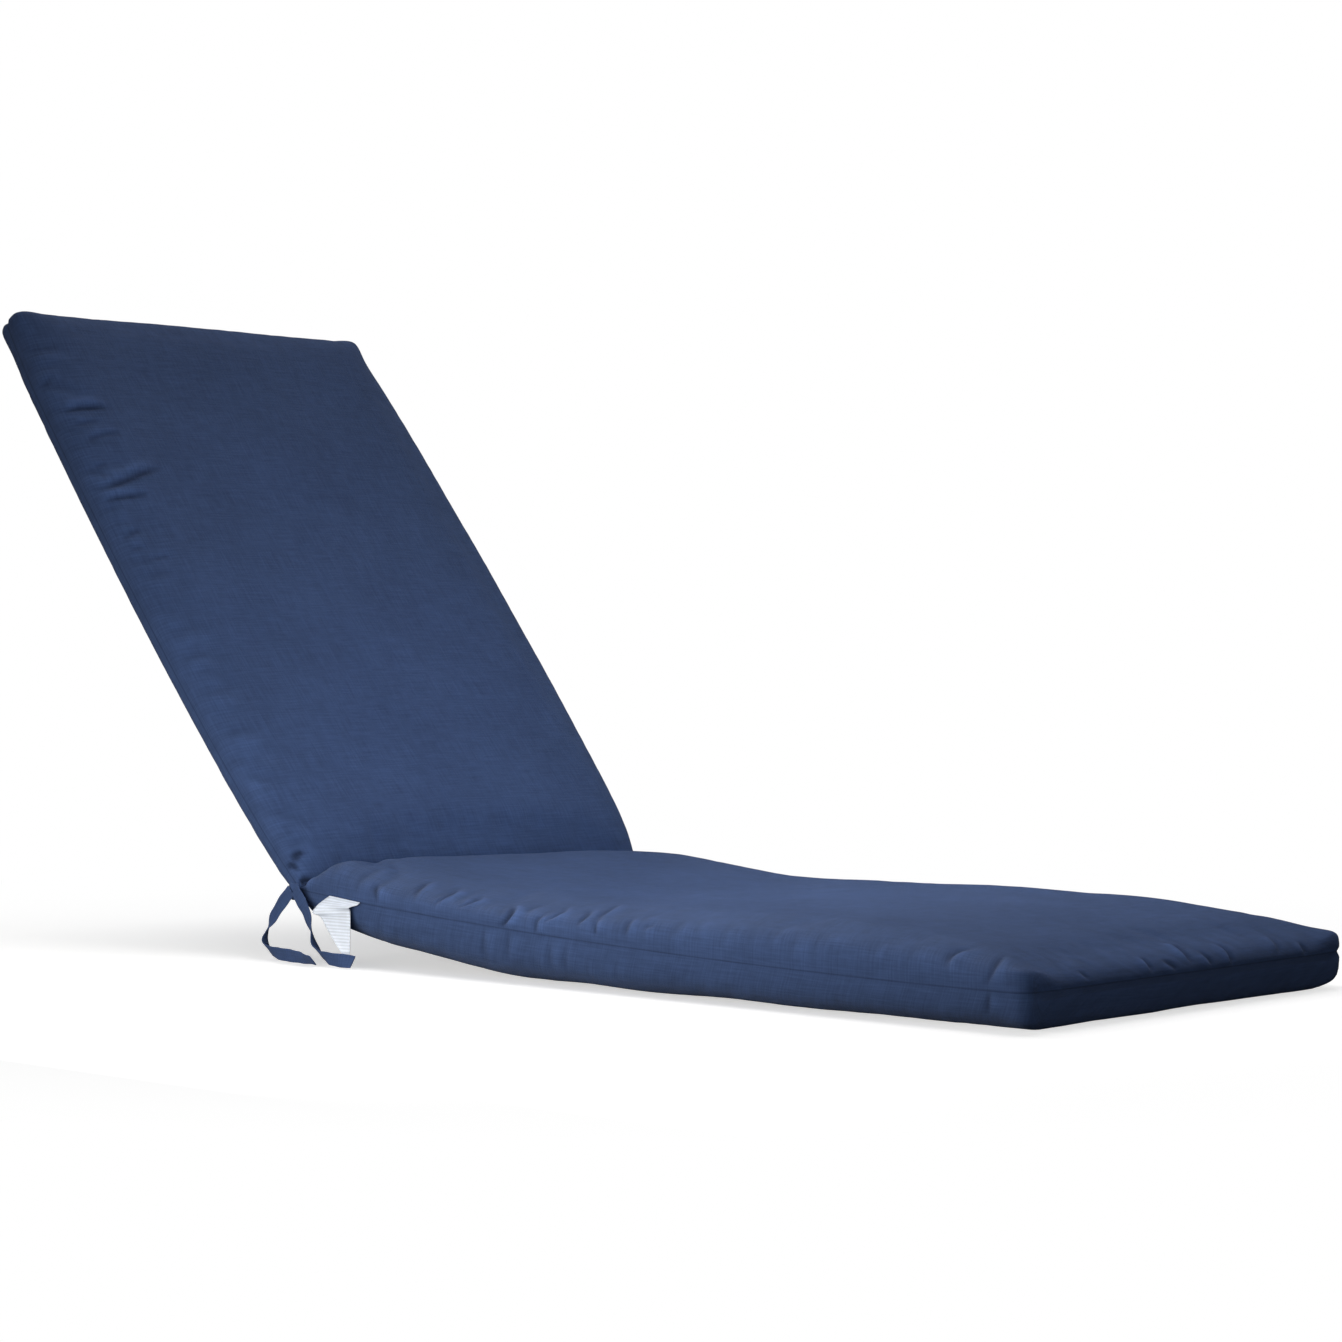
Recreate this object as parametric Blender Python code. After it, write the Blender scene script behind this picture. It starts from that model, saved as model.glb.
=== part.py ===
"""Chaise lounge chair cushion: a seat section that lies flat and a back section that leans.

Both are filled lengths of one sewn cover, drawn in to a stitched channel where it bends.
At that channel a tie with two free ends and a small folded label are caught in the side seam.

Metres, +Z up, +X towards the foot end, the side with the tie at -Y.
The origin is the middle of the cushion's outline box, at the level that it rests on.
"""

from math import cos, pi, radians, sin

import bmesh
import bpy
import numpy as np
from mathutils import Matrix, Vector

# Driving dimensions of the cushion
WIDTH = 0.560
SEAT_LENGTH = 0.957
BACK_LENGTH = 0.813
BACK_ANGLE = radians(51.67)
CHANNEL_HEIGHT = 0.075
CHANNEL_HALF_THICKNESS = 0.004
CHANNEL_REACH = 0.024
CORNER_RADIUS = 0.014
SIDE_ROLL = 0.055
SIDE_ROLL_POWER = 2.7

# Seat section, heights above the surface that it lies on
SEAT_TOP = 0.0815
SEAT_CREST = 0.0206
SEAT_CREST_LENGTH = 0.520
SEAT_SAG = 0.0074
SEAT_SAG_PLACE = 0.308
SEAT_SAG_LENGTH = 0.148
SEAT_TOP_DROP = 0.0146
SEAT_DROP_LENGTH = 0.250
SEAT_CROWN = 0.053
FOOT_ROLL = 0.093
FOOT_ROLL_POWER = 2.5
FOOT_UNDER_ROLL = 0.022
FOOT_UNDER_POWER = 2.5
SEAM_HEIGHT = 0.037
SEAM_RISE_LENGTH = 0.950
SIDE_LIFT = 0.045
SIDE_LIFT_LENGTH = 0.420
UNDER_CURVE_LENGTH = 0.140
UNDER_FLAT_HALF_WIDTH = 0.060
UNDER_FLAT_GAIN = 0.170
UNDER_FLAT_START = 0.100

# Back section, depths from the plane of its seam
BACK_FRONT = 0.0323
BACK_REAR = 0.0245
BACK_CROWN = 0.053
BACK_BOW = 0.0105
BACK_REAR_CURVE = 0.060
BACK_REAR_POWER = 2.2
HEAD_ROLL = 0.030
HEAD_ROLL_POWER = 2.6

# Sides drawn in at the channel
DRAW_IN = 0.0125
DRAW_IN_REACH = 0.080

# Grid cells along each section and across the width
CELLS_ALONG = 44
CELLS_ACROSS = 26
WELD_DISTANCE = 0.00002

# Tie tape: a doubled root in the seam and two free ends
TAPE_WIDTH = 0.0145
TAPE_THICKNESS = 0.0016
TAPE_STEP = 0.005
ROOT_SIZE = (0.020, 0.0032, 0.018)
ROOT_PLACE = (-0.004, -0.2722, 0.073)
ROOT_BEVEL = 0.0008

# Label of thin white satin
LABEL_THICKNESS = 0.0010
LABEL_CELLS = 8

# Routes of the tie's free ends from the channel's near corner.
# Columns: x, y, z, and the tape's turn in degrees (0 faces the side, 90 lies flat).
LEFT_TIE_ROUTE = (
    (-0.0060, -0.2748, 0.0740, 0),
    (-0.0185, -0.2758, 0.0610, 2),
    (-0.0312, -0.2779, 0.0435, 14),
    (-0.0375, -0.2800, 0.0300, 50),
    (-0.0370, -0.2835, 0.0195, 66),
    (-0.0281, -0.2885, 0.0120, 52),
    (-0.0130, -0.2945, 0.0088, 28),
    (0.0040, -0.2990, 0.0080, 14),
    (0.0220, -0.3020, 0.0079, 12),
    (0.0400, -0.3050, 0.0076, 22),
    (0.0560, -0.3080, 0.0069, 38),
    (0.0660, -0.3100, 0.0063, 46),
)
RIGHT_TIE_ROUTE = (
    (0.0020, -0.2768, 0.0750, 0),
    (0.0130, -0.2782, 0.0640, 0),
    (0.0235, -0.2800, 0.0530, 6),
    (0.0330, -0.2825, 0.0375, 30),
    (0.0415, -0.2860, 0.0250, 62),
    (0.0510, -0.2905, 0.0165, 64),
    (0.0640, -0.2955, 0.0110, 42),
    (0.0790, -0.2995, 0.0086, 18),
    (0.0940, -0.3015, 0.0080, 4),
    (0.1070, -0.3010, 0.0078, -18),
    (0.1160, -0.2995, 0.0074, -40),
)

# Edges of the label, row by row from the seam: x, y, z of its left and of its right edge
LABEL_EDGES = (
    ((0.0546, -0.2748, 0.0718), (0.1030, -0.2775, 0.0677)),
    ((0.0488, -0.2795, 0.0664), (0.1020, -0.2800, 0.0652)),
    ((0.0440, -0.2850, 0.0602), (0.0965, -0.2825, 0.0634)),
    ((0.0420, -0.2880, 0.0535), (0.0930, -0.2840, 0.0615)),
    ((0.0500, -0.2845, 0.0500), (0.0915, -0.2805, 0.0585)),
    ((0.0600, -0.2840, 0.0380), (0.0915, -0.2800, 0.0460)),
    ((0.0720, -0.2840, 0.0240), (0.0915, -0.2800, 0.0300)),
    ((0.0850, -0.2842, 0.0110), (0.0915, -0.2802, 0.0140)),
    ((0.0895, -0.2845, 0.0035), (0.0915, -0.2805, 0.0030)),
)

# Base colours, linear, with each material's roughness
NAVY_CLOTH = ((0.050, 0.080, 0.165, 1.0), 0.92)
WHITE_SATIN = ((0.740, 0.780, 0.860, 1.0), 0.55)


def smooth_step(start, end, value):
    """Ease from 0 at start to 1 at end."""
    t = min(max((value - start) / (end - start), 0.0), 1.0)
    return t * t * (3.0 - 2.0 * t)


def fullness(distance, reach, power):
    """How full a section is at this distance from a seam: 0 on it, 1 from reach inwards."""
    t = min(max(1.0 - distance / reach, 0.0), 1.0)
    return (1.0 - t ** power) ** (1.0 / power)


def channel_rise(along):
    """How much of the loft is reached at this distance from the stitched channel."""
    return 1.0 - np.exp(-along / CHANNEL_REACH)


def half_width(along, length, bow):
    """Half the cover's width, drawn in at the channel, bowed at mid length, round at the corners."""
    to_end = length - along
    half = WIDTH / 2 - DRAW_IN * np.exp(-along / DRAW_IN_REACH) + bow * sin(pi * along / length)
    past = min(max(1.0 - to_end / CORNER_RADIUS, 0.0), 1.0)
    return half - CORNER_RADIUS * (1.0 - (1.0 - past ** 2) ** 0.5)


def loft(along, length, half, across, end_roll, end_power):
    """Fullness from both side seams and the end seam together, 0 on the seams and 1 inside."""
    side = fullness(half - abs(across), SIDE_ROLL, SIDE_ROLL_POWER)
    end = fullness(length - along, end_roll, end_power)
    return max(0.0, 1.0 - np.hypot(1.0 - side, 1.0 - end))


def seat_seam(along):
    """Height of the seat section's seam, which rises towards the channel."""
    rise = max(0.0, 1.0 - along / SEAM_RISE_LENGTH) ** 2
    return SEAM_HEIGHT + (CHANNEL_HEIGHT - SEAM_HEIGHT) * rise


def seat_top(along, across, half):
    """Height of the seat section's upper face over a full section."""
    crest = SEAT_CREST * max(0.0, 1.0 - along / SEAT_CREST_LENGTH) ** 2
    sag = SEAT_SAG * np.exp(-((along - SEAT_SAG_PLACE) / SEAT_SAG_LENGTH) ** 2)
    drop = SEAT_TOP_DROP * smooth_step(SEAT_LENGTH - SEAT_DROP_LENGTH, SEAT_LENGTH, along)
    above_seam = SEAT_TOP + crest - sag - drop - seat_seam(along) - CHANNEL_HALF_THICKNESS
    above_seam = CHANNEL_HALF_THICKNESS + above_seam * channel_rise(along)
    return above_seam * (1.0 - SEAT_CROWN * (across / half) ** 2)


def seat_under(along, across, half):
    """Height of the lower face: flat in the middle, lifting at the sides and at the channel."""
    t = max(0.0, 1.0 - along / UNDER_CURVE_LENGTH)
    middle = (CHANNEL_HEIGHT - CHANNEL_HALF_THICKNESS) * (1.0 - (1.0 - t ** 2) ** 0.5)
    edge = SIDE_LIFT * max(0.0, 1.0 - along / SIDE_LIFT_LENGTH) ** 2
    flat = UNDER_FLAT_HALF_WIDTH + UNDER_FLAT_GAIN * smooth_step(UNDER_FLAT_START, SIDE_LIFT_LENGTH, along)
    return middle + max(0.0, edge - middle) * smooth_step(flat, half, abs(across))


def seat_point(along, v, upper):
    """A point of the seat section, v from -1 to 1 across it."""
    half = half_width(along, SEAT_LENGTH, 0.0)
    across = half * v
    seam = seat_seam(along)
    if upper:
        full = loft(along, SEAT_LENGTH, half, across, FOOT_ROLL, FOOT_ROLL_POWER)
        return Vector((along, across, seam + full * seat_top(along, across, half)))
    full = loft(along, SEAT_LENGTH, half, across, FOOT_UNDER_ROLL, FOOT_UNDER_POWER)
    return Vector((along, across, seam - full * (seam - seat_under(along, across, half))))


def back_point(along, v, front):
    """A point of the back section, which leans back from the channel by BACK_ANGLE."""
    half = half_width(along, BACK_LENGTH, BACK_BOW)
    across = half * v
    full = loft(along, BACK_LENGTH, half, across, HEAD_ROLL, HEAD_ROLL_POWER)
    if front:
        depth = (BACK_FRONT - CHANNEL_HALF_THICKNESS) * channel_rise(along)
        depth = (CHANNEL_HALF_THICKNESS + depth) * (1.0 - BACK_CROWN * (across / half) ** 2)
    else:
        depth = (BACK_REAR - CHANNEL_HALF_THICKNESS) * fullness(along, BACK_REAR_CURVE, BACK_REAR_POWER)
        depth = -(CHANNEL_HALF_THICKNESS + depth)
    seam_point = Vector((-along * cos(BACK_ANGLE), across, CHANNEL_HEIGHT + along * sin(BACK_ANGLE)))
    return seam_point + Vector((sin(BACK_ANGLE), 0.0, cos(BACK_ANGLE))) * (depth * full)


def cushion_point(p, v, upper):
    """A point of the cover: p from -1 at the head end, over 0 at the channel, to 1 at the foot."""
    share = 0.5 - 0.5 * cos(pi * abs(p))
    if p < 0.0:
        return back_point(share * BACK_LENGTH, v, upper)
    return seat_point(share * SEAT_LENGTH, v, upper)


def make_material(name, color_and_roughness):
    """A Principled BSDF material."""
    color, roughness = color_and_roughness
    material = bpy.data.materials.new(name)
    material.use_nodes = True
    shader = material.node_tree.nodes["Principled BSDF"]
    shader.inputs["Base Color"].default_value = color
    shader.inputs["Roughness"].default_value = roughness
    return material


def make_object(name, mesh_source, material, place):
    """An object from a bmesh, with its own material, moved to its place."""
    mesh = bpy.data.meshes.new(name)
    bmesh.ops.recalc_face_normals(mesh_source, faces=mesh_source.faces)
    mesh_source.to_mesh(mesh)
    mesh_source.free()
    mesh.shade_smooth()
    mesh.materials.append(material)
    obj = bpy.data.objects.new(name, mesh)
    obj.location = place
    bpy.context.scene.collection.objects.link(obj)
    return obj


def make_cushion():
    """The cover's upper and lower panels, each a shaped grid, welded along the seam."""
    cover = bmesh.new()
    for upper in (True, False):
        grid = bmesh.ops.create_grid(
            cover, x_segments=2 * CELLS_ALONG, y_segments=CELLS_ACROSS, size=1.0)
        for vert in grid["verts"]:
            v = sin(vert.co.y * pi / 2)
            vert.co = cushion_point(round(vert.co.x, 6), v, upper)
    bmesh.ops.remove_doubles(cover, verts=cover.verts, dist=WELD_DISTANCE)
    return cover


def smooth_route(route):
    """Even points along a smooth curve through a route's rows, with all its columns."""
    rows = np.array(route, dtype=float)
    ahead = np.vstack((rows[1:2] - rows[0:1], rows[2:] - rows[:-2], rows[-1:] - rows[-2:-1])) / 2
    spans = []
    for start, end, leave, arrive in zip(rows[:-1], rows[1:], ahead[:-1], ahead[1:]):
        steps = max(2, round(float(np.linalg.norm(end[:3] - start[:3])) / TAPE_STEP))
        t = np.linspace(0.0, 1.0, steps, endpoint=False)[:, None]
        spans.append(
            start * (2 * t ** 3 - 3 * t ** 2 + 1) + leave * (t ** 3 - 2 * t ** 2 + t)
            + end * (3 * t ** 2 - 2 * t ** 3) + arrive * (t ** 3 - t ** 2))
    return np.vstack(spans + [rows[-1:]])


def make_tape(route):
    """A flat tape along a route, turned about its length as the route's last column says."""
    rows = smooth_route(route)
    tape = bmesh.new()
    edges = []
    for index, (x, y, z, turn) in enumerate(rows):
        before = Vector(rows[max(index - 1, 0)][:3])
        after = Vector(rows[min(index + 1, len(rows) - 1)][:3])
        tangent = (after - before).normalized()
        facing_side = tangent.cross(Vector((0.0, -1.0, 0.0))).normalized()
        wide = Matrix.Rotation(radians(turn), 3, tangent) @ facing_side
        middle = Vector((x, y, z))
        edges.append([tape.verts.new(middle + wide * (side * TAPE_WIDTH / 2)) for side in (-1, 1)])
    for (left, right), (next_left, next_right) in zip(edges[:-1], edges[1:]):
        tape.faces.new((left, right, next_right, next_left))
    return tape


def make_label():
    """A thin sheet between its left and right edges, smooth along and straight across."""
    left = smooth_route([row[0] for row in LABEL_EDGES])
    right = smooth_route([row[1] for row in LABEL_EDGES])
    shares = np.linspace(0.0, 1.0, 4 * LABEL_CELLS + 1)
    sheet = bmesh.new()
    rows = []
    for share in shares:
        ends = []
        for edge in (left, right):
            at = share * (len(edge) - 1)
            low = min(int(at), len(edge) - 2)
            ends.append(Vector(edge[low]).lerp(Vector(edge[low + 1]), at - low))
        rows.append([sheet.verts.new(ends[0].lerp(ends[1], k / LABEL_CELLS)) for k in range(LABEL_CELLS + 1)])
    for row, following in zip(rows[:-1], rows[1:]):
        for k in range(LABEL_CELLS):
            sheet.faces.new((row[k], row[k + 1], following[k + 1], following[k]))
    return sheet


def make_root():
    """The doubled middle of the tape, a small block with softened edges."""
    block = bmesh.new()
    bmesh.ops.create_cube(block, size=1.0)
    bmesh.ops.scale(block, vec=ROOT_SIZE, verts=block.verts)
    return block


def thicken(obj, thickness):
    """Give a sheet its thickness, half on each side."""
    solid = obj.modifiers.new("Thickness", "SOLIDIFY")
    solid.thickness = thickness
    solid.offset = 0.0


def soften_edges(obj, width):
    """Bevel every edge of a block a little."""
    bevel = obj.modifiers.new("Soft edges", "BEVEL")
    bevel.width = width
    bevel.segments = 2


def main():
    """Build the cushion with its tie and label about the middle of its outline."""
    for obj in list(bpy.data.objects):
        bpy.data.objects.remove(obj)
    cloth = make_material("navy_cloth", NAVY_CLOTH)
    satin = make_material("white_satin", WHITE_SATIN)

    cover = make_cushion()
    reach = [vert.co.x for vert in cover.verts]
    channel_corner = Vector((-(min(reach) + max(reach)) / 2, 0.0, 0.0))
    make_object("cushion", cover, cloth, channel_corner)

    root = make_object("tie_root", make_root(), cloth, channel_corner + Vector(ROOT_PLACE))
    soften_edges(root, ROOT_BEVEL)
    for name, route in (("tie_left", LEFT_TIE_ROUTE), ("tie_right", RIGHT_TIE_ROUTE)):
        tie = make_object(name, make_tape(route), cloth, channel_corner)
        thicken(tie, TAPE_THICKNESS)
    label = make_object("care_label", make_label(), satin, channel_corner)
    thicken(label, LABEL_THICKNESS)


main()
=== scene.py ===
"""Looks of the chaise lounge chair cushion: its padded cover, tie, label and studio.

The cover is a surface of two parameters, the length along the cushion and the share of its width.
A coarse grid of it is blown up as cloth, the movement is read back as a smooth field, and the
fine grid gets that field, its sewn seam and its puckers. The tie is flat tape carried along its
two routes, and the label is a thin sheet with one fold and one turned-back corner.
"""

import logging
from dataclasses import dataclass
from enum import Enum
from math import cos, pi, radians, sin
from typing import Sequence

import bpy
import numpy as np
from mathutils import Matrix, Vector


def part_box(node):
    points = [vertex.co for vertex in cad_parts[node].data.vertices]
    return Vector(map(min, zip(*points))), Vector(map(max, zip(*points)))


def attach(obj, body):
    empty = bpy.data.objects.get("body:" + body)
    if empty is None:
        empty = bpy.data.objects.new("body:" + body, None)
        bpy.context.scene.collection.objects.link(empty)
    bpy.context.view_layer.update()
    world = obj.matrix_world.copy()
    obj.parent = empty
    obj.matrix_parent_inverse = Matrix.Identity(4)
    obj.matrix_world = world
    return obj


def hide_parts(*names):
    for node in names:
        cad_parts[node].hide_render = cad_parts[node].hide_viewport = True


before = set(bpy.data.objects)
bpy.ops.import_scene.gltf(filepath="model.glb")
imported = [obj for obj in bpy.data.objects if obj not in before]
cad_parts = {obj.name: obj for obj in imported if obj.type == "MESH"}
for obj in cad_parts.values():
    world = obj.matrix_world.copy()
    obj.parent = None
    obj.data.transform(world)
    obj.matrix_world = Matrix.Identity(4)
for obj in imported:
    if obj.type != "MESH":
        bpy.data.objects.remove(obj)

log = logging.getLogger("cushion")
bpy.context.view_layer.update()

ROOT_BODY = "root"

# The channel's middle lies this far towards the foot from the middle of the tie's root
CHANNEL_FROM_ROOT = 0.004
root_low, root_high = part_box("tie_root")
CHANNEL_X = (root_low[0] + root_high[0]) / 2 + CHANNEL_FROM_ROOT


def smooth_step(start: float, end: float, value: np.ndarray) -> np.ndarray:
    """Ease from 0 at start to 1 at end, as three squares minus two cubes.

    Args:
        start: Value where the step leaves 0.
        end: Value where the step reaches 1.
        value: Numbers to ease.

    Returns:
        The eased shares, the shape of value.
    """
    t = np.clip((value - start) / (end - start), 0.0, 1.0)
    return t * t * (3.0 - 2.0 * t)


def fullness(gap: np.ndarray, reach: np.ndarray | float, power: float) -> np.ndarray:
    """Quarter of a superellipse: 0 on a seam, 1 from reach inwards.

    Args:
        gap: Distance from the seam, in metres.
        reach: Distance over which the section fills up, in metres.
        power: The superellipse's power, higher is squarer.

    Returns:
        The fullness at each gap.
    """
    t = np.clip(1.0 - gap / reach, 0.0, 1.0)
    return (1.0 - t ** power) ** (1.0 / power)


def bell(offset: np.ndarray, width: float) -> np.ndarray:
    """A bell of height 1: e to the power of minus the squared offset over the width."""
    return np.exp(-((offset / width) ** 2))


def signed_power(value: np.ndarray, power: float) -> np.ndarray:
    """The value's size to a power, with the value's own sign."""
    return np.sign(value) * np.abs(value) ** power


def running_length(points: np.ndarray, axis: int = 0) -> np.ndarray:
    """Distances along one direction of a row or grid of points: running sums of its steps."""
    steps = np.linalg.norm(np.diff(points, axis=axis), axis=-1)
    return np.cumsum(np.insert(steps, 0, 0.0, axis=axis), axis=axis)


def joined(*corners: np.ndarray) -> list:
    """Faces whose corner numbers stand at the same place in each of these arrays."""
    return np.stack([corner.ravel() for corner in corners], axis=1).tolist()


def tube_faces(rows: int, around: int) -> list:
    """Faces of a closed tube: a wall of four-sided faces and one flat face at each end.

    Args:
        rows: Rings along the tube.
        around: Points on each ring.

    Returns:
        Corner indices of each face.
    """
    ids = np.arange(rows * around).reshape(rows, around)
    following = np.roll(ids, -1, axis=1)
    wall = joined(ids[:-1], following[:-1], following[1:], ids[1:])
    return wall + [ids[0, ::-1].tolist(), ids[-1].tolist()]


def new_piece(name: str, points: np.ndarray, faces: list,
              material: bpy.types.Material) -> bpy.types.Object:
    """Put points and faces into a smooth-shaded object at the origin.

    Args:
        name: The object's name.
        points: Vertices, shape (n, 3), in metres.
        faces: Corner indices of each face.
        material: The finish of the whole piece.

    Returns:
        The new object, linked to the scene.
    """
    mesh = bpy.data.meshes.new(name)
    mesh.from_pydata(points.tolist(), [], faces)
    mesh.shade_smooth()
    mesh.materials.append(material)
    piece = bpy.data.objects.new(name, mesh)
    bpy.context.scene.collection.objects.link(piece)
    return piece


def set_flat_pattern(piece: bpy.types.Object, pattern: np.ndarray) -> None:
    """Store each vertex's place on the flat cloth, in metres, as the piece's UV map.

    Args:
        piece: The object to map.
        pattern: Flat coordinates, shape (vertices, 2).
    """
    mesh = piece.data
    corners = np.empty(len(mesh.loops), dtype=np.int32)
    mesh.loops.foreach_get("vertex_index", corners)
    layer = mesh.uv_layers.new(name="flat_pattern")
    layer.data.foreach_set("uv", pattern[corners].astype(np.float32).ravel())


def set_attribute(piece: bpy.types.Object, name: str, values: np.ndarray) -> None:
    """Store one number for each vertex, under a name that the finish reads."""
    attribute = piece.data.attributes.new(name, "FLOAT", "POINT")
    attribute.data.foreach_set("value", values.astype(np.float32))


def report(piece: bpy.types.Object) -> None:
    """Log a finished piece's name and face count."""
    log.info("%s: %d faces", piece.name, len(piece.data.polygons))


class Value:
    """A shader socket whose operators add Math nodes to its tree."""

    def __init__(self, tree: "ShaderTree", socket: bpy.types.NodeSocket) -> None:
        """Wrap a socket.

        Args:
            tree: The tree that the socket belongs to.
            socket: An output socket.
        """
        self.tree = tree
        self.socket = socket

    def math(self, operation: str, *operands: "Value | float") -> "Value":
        """Add a Math node of an operation on these operands.

        Args:
            operation: The Math node's operation.
            *operands: Values or numbers, in the node's order.

        Returns:
            The node's output.
        """
        node = self.tree.node("ShaderNodeMath", {"operation": operation}, dict(enumerate(operands)))
        return Value(self.tree, node.outputs[0])

    def __add__(self, other: "Value | float") -> "Value":
        """Sum."""
        return self.math("ADD", self, other)

    def __radd__(self, other: float) -> "Value":
        """Sum with a number in front."""
        return self.math("ADD", other, self)

    def __sub__(self, other: "Value | float") -> "Value":
        """Difference."""
        return self.math("SUBTRACT", self, other)

    def __rsub__(self, other: float) -> "Value":
        """Difference from a number in front."""
        return self.math("SUBTRACT", other, self)

    def __mul__(self, other: "Value | float") -> "Value":
        """Product."""
        return self.math("MULTIPLY", self, other)

    def __rmul__(self, other: float) -> "Value":
        """Product with a number in front."""
        return self.math("MULTIPLY", other, self)

    def sine(self) -> "Value":
        """Sine of an angle in radians."""
        return self.math("SINE", self)

    def bell(self, width: float) -> "Value":
        """Bell of height 1 about 0."""
        scaled = self * (1.0 / width)
        return self.math("EXPONENT", scaled * scaled * -1.0)


class ShaderTree:
    """A material's nodes, added from plain values."""

    noise_roughness: float = 0.55

    def __init__(self, name: str) -> None:
        """Start an empty material.

        Args:
            name: The material's name.
        """
        self.material = bpy.data.materials.new(name)
        self.material.use_nodes = True
        self.material.node_tree.nodes.clear()

    def node(self, kind: str, settings: dict | None = None, inputs: dict | None = None) -> bpy.types.Node:
        """Add a node, set its settings, then fill its sockets.

        Args:
            kind: The node's type.
            settings: Attribute names and values, set first.
            inputs: Socket names or numbers, each with a number, colour, socket or Value.

        Returns:
            The new node.
        """
        nodes = self.material.node_tree
        new = nodes.nodes.new(kind)
        for key, setting in (settings or {}).items():
            setattr(new, key, setting)
        for key, content in (inputs or {}).items():
            if isinstance(content, Value):
                nodes.links.new(content.socket, new.inputs[key])
            elif isinstance(content, bpy.types.NodeSocket):
                nodes.links.new(content, new.inputs[key])
            else:
                new.inputs[key].default_value = content
        return new

    def flat_pattern(self) -> tuple[Value, Value]:
        """The cloth's own flat coordinates.

        Returns:
            The place along the cloth and the place across it, in metres.
        """
        coordinates = self.node("ShaderNodeUVMap", {"uv_map": "flat_pattern"})
        parts = self.node("ShaderNodeSeparateXYZ", None, {0: coordinates.outputs["UV"]})
        return Value(self, parts.outputs["X"]), Value(self, parts.outputs["Y"])

    def attribute(self, name: str) -> Value:
        """A number stored on the mesh's vertices."""
        return Value(self, self.node("ShaderNodeAttribute", {"attribute_name": name}).outputs["Fac"])

    def noise(self, u: Value, v: Value, scale_u: float, scale_v: float, detail: float = 2.0) -> Value:
        """Noise on the flat cloth with its own scale each way, middle 0, about plus and minus a half.

        Args:
            u: Coordinate along the cushion, in metres.
            v: Coordinate across the cushion, in metres.
            scale_u: Features for each metre along.
            scale_v: Features for each metre across.
            detail: The noise's octaves.

        Returns:
            The noise less its middle value.
        """
        place = self.node("ShaderNodeCombineXYZ", None, {"X": u * scale_u, "Y": v * scale_v})
        noise = self.node(
            "ShaderNodeTexNoise", {"noise_dimensions": "2D"},
            {"Vector": place.outputs[0], "Scale": 1.0, "Detail": detail, "Roughness": self.noise_roughness})
        return Value(self, noise.outputs["Fac"]) - 0.5

    def shade(self, colour: Sequence[float], brightness: Value) -> bpy.types.NodeSocket:
        """A colour times a brightness, through Vector Math."""
        scaled = self.node(
            "ShaderNodeVectorMath", {"operation": "SCALE"}, {0: tuple(colour), "Scale": brightness})
        return scaled.outputs[0]

    def bump(self, height: Value, distance: float) -> bpy.types.NodeSocket:
        """A normal raised by a height between 0 and 1, over a distance in metres."""
        node = self.node("ShaderNodeBump", None, {"Strength": 1.0, "Distance": distance, "Height": height})
        return node.outputs[0]

    def finish(self, settings: dict) -> bpy.types.Material:
        """Close the tree with a Principled BSDF.

        Args:
            settings: The shader's socket names with their values or links.

        Returns:
            The finished material.
        """
        shader = self.node("ShaderNodeBsdfPrincipled", None, settings)
        self.node("ShaderNodeOutputMaterial", None, {"Surface": shader.outputs[0]})
        return self.material


@dataclass(frozen=True)
class WovenCloth:
    """Matt plain-weave outdoor cloth, solid navy, with faint uneven threads.

    The weave is the product of two sines, one for each thread direction. Uneven threads are
    noise drawn out along each direction, and the cloth is mottled in clouds and in grains. Pitches,
    widths and depths are in metres, and scales are features for each metre.
    """

    name: str = "navy_cloth"
    colour: tuple[float, float, float] = (0.0405, 0.0720, 0.1740)
    thread_pitch: float = 0.0011
    thread_spread: float = 1.6
    thread_scale: float = 22.0
    weave_depth: float = 0.00022
    weave_shade: float = 0.035
    slub: float = 0.42
    mottle: float = 0.26
    cloud_scale: float = 9.0
    grain_scale: float = 70.0
    seam_line: float = 0.34
    seam_width: float = 0.0008
    stitch_pitch: float = 0.0045
    # Strength of the painted shade in crease grooves and of the painted highlight on their ridges
    fold_shade: float = 0.50
    roughness: float = 0.90
    sheen: float = 0.08
    sheen_roughness: float = 0.45
    sheen_tint: tuple[float, float, float, float] = (0.62, 0.72, 0.95, 1.0)
    specular: float = 0.14

    def material(self, with_seam: bool = False) -> bpy.types.Material:
        """Build the material.

        Args:
            with_seam: True where the mesh holds its distance from the seam as seam_gap.

        Returns:
            The finished material.
        """
        tree = ShaderTree(self.name if with_seam else self.name + "_tape")
        u, v = tree.flat_pattern()
        turn = 2.0 * pi / self.thread_pitch
        weave = (u * turn).sine() * (v * turn).sine()
        across_threads = 1 / (self.thread_spread * self.thread_pitch)
        long_threads = tree.noise(u, v, self.thread_scale, across_threads)
        threads = long_threads + tree.noise(u, v, across_threads, self.thread_scale)
        clouds = tree.noise(u, v, self.cloud_scale, self.cloud_scale, detail=3.0)
        mottling = clouds + tree.noise(u, v, self.grain_scale, self.grain_scale)
        brightness = 1.0 + threads * self.slub + mottling * self.mottle + weave * self.weave_shade
        height = weave * 0.5 + threads * 0.5 + 0.5
        if with_seam:
            side_line = tree.attribute("seam_gap").bell(self.seam_width)
            channel_line = tree.attribute("channel_gap").bell(self.seam_width)
            stitches = (v * (2.0 * pi / self.stitch_pitch)).sine() * 0.5 + 0.5
            brightness = brightness * (1.0 - side_line * self.seam_line)
            brightness = brightness * (1.0 - channel_line * stitches * self.seam_line)
            # Painted shade in the creases' grooves and painted highlight on their ridges, from the folds'
            # heights
            brightness = brightness * (1.0 + tree.attribute("painted_fold_light") * self.fold_shade)
        return tree.finish({
            "Base Color": tree.shade(self.colour, brightness),
            "Roughness": self.roughness,
            "Sheen Weight": self.sheen,
            "Sheen Roughness": self.sheen_roughness,
            "Sheen Tint": self.sheen_tint,
            "Specular IOR Level": self.specular,
            "Normal": tree.bump(height, self.weave_depth),
        })


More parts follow.
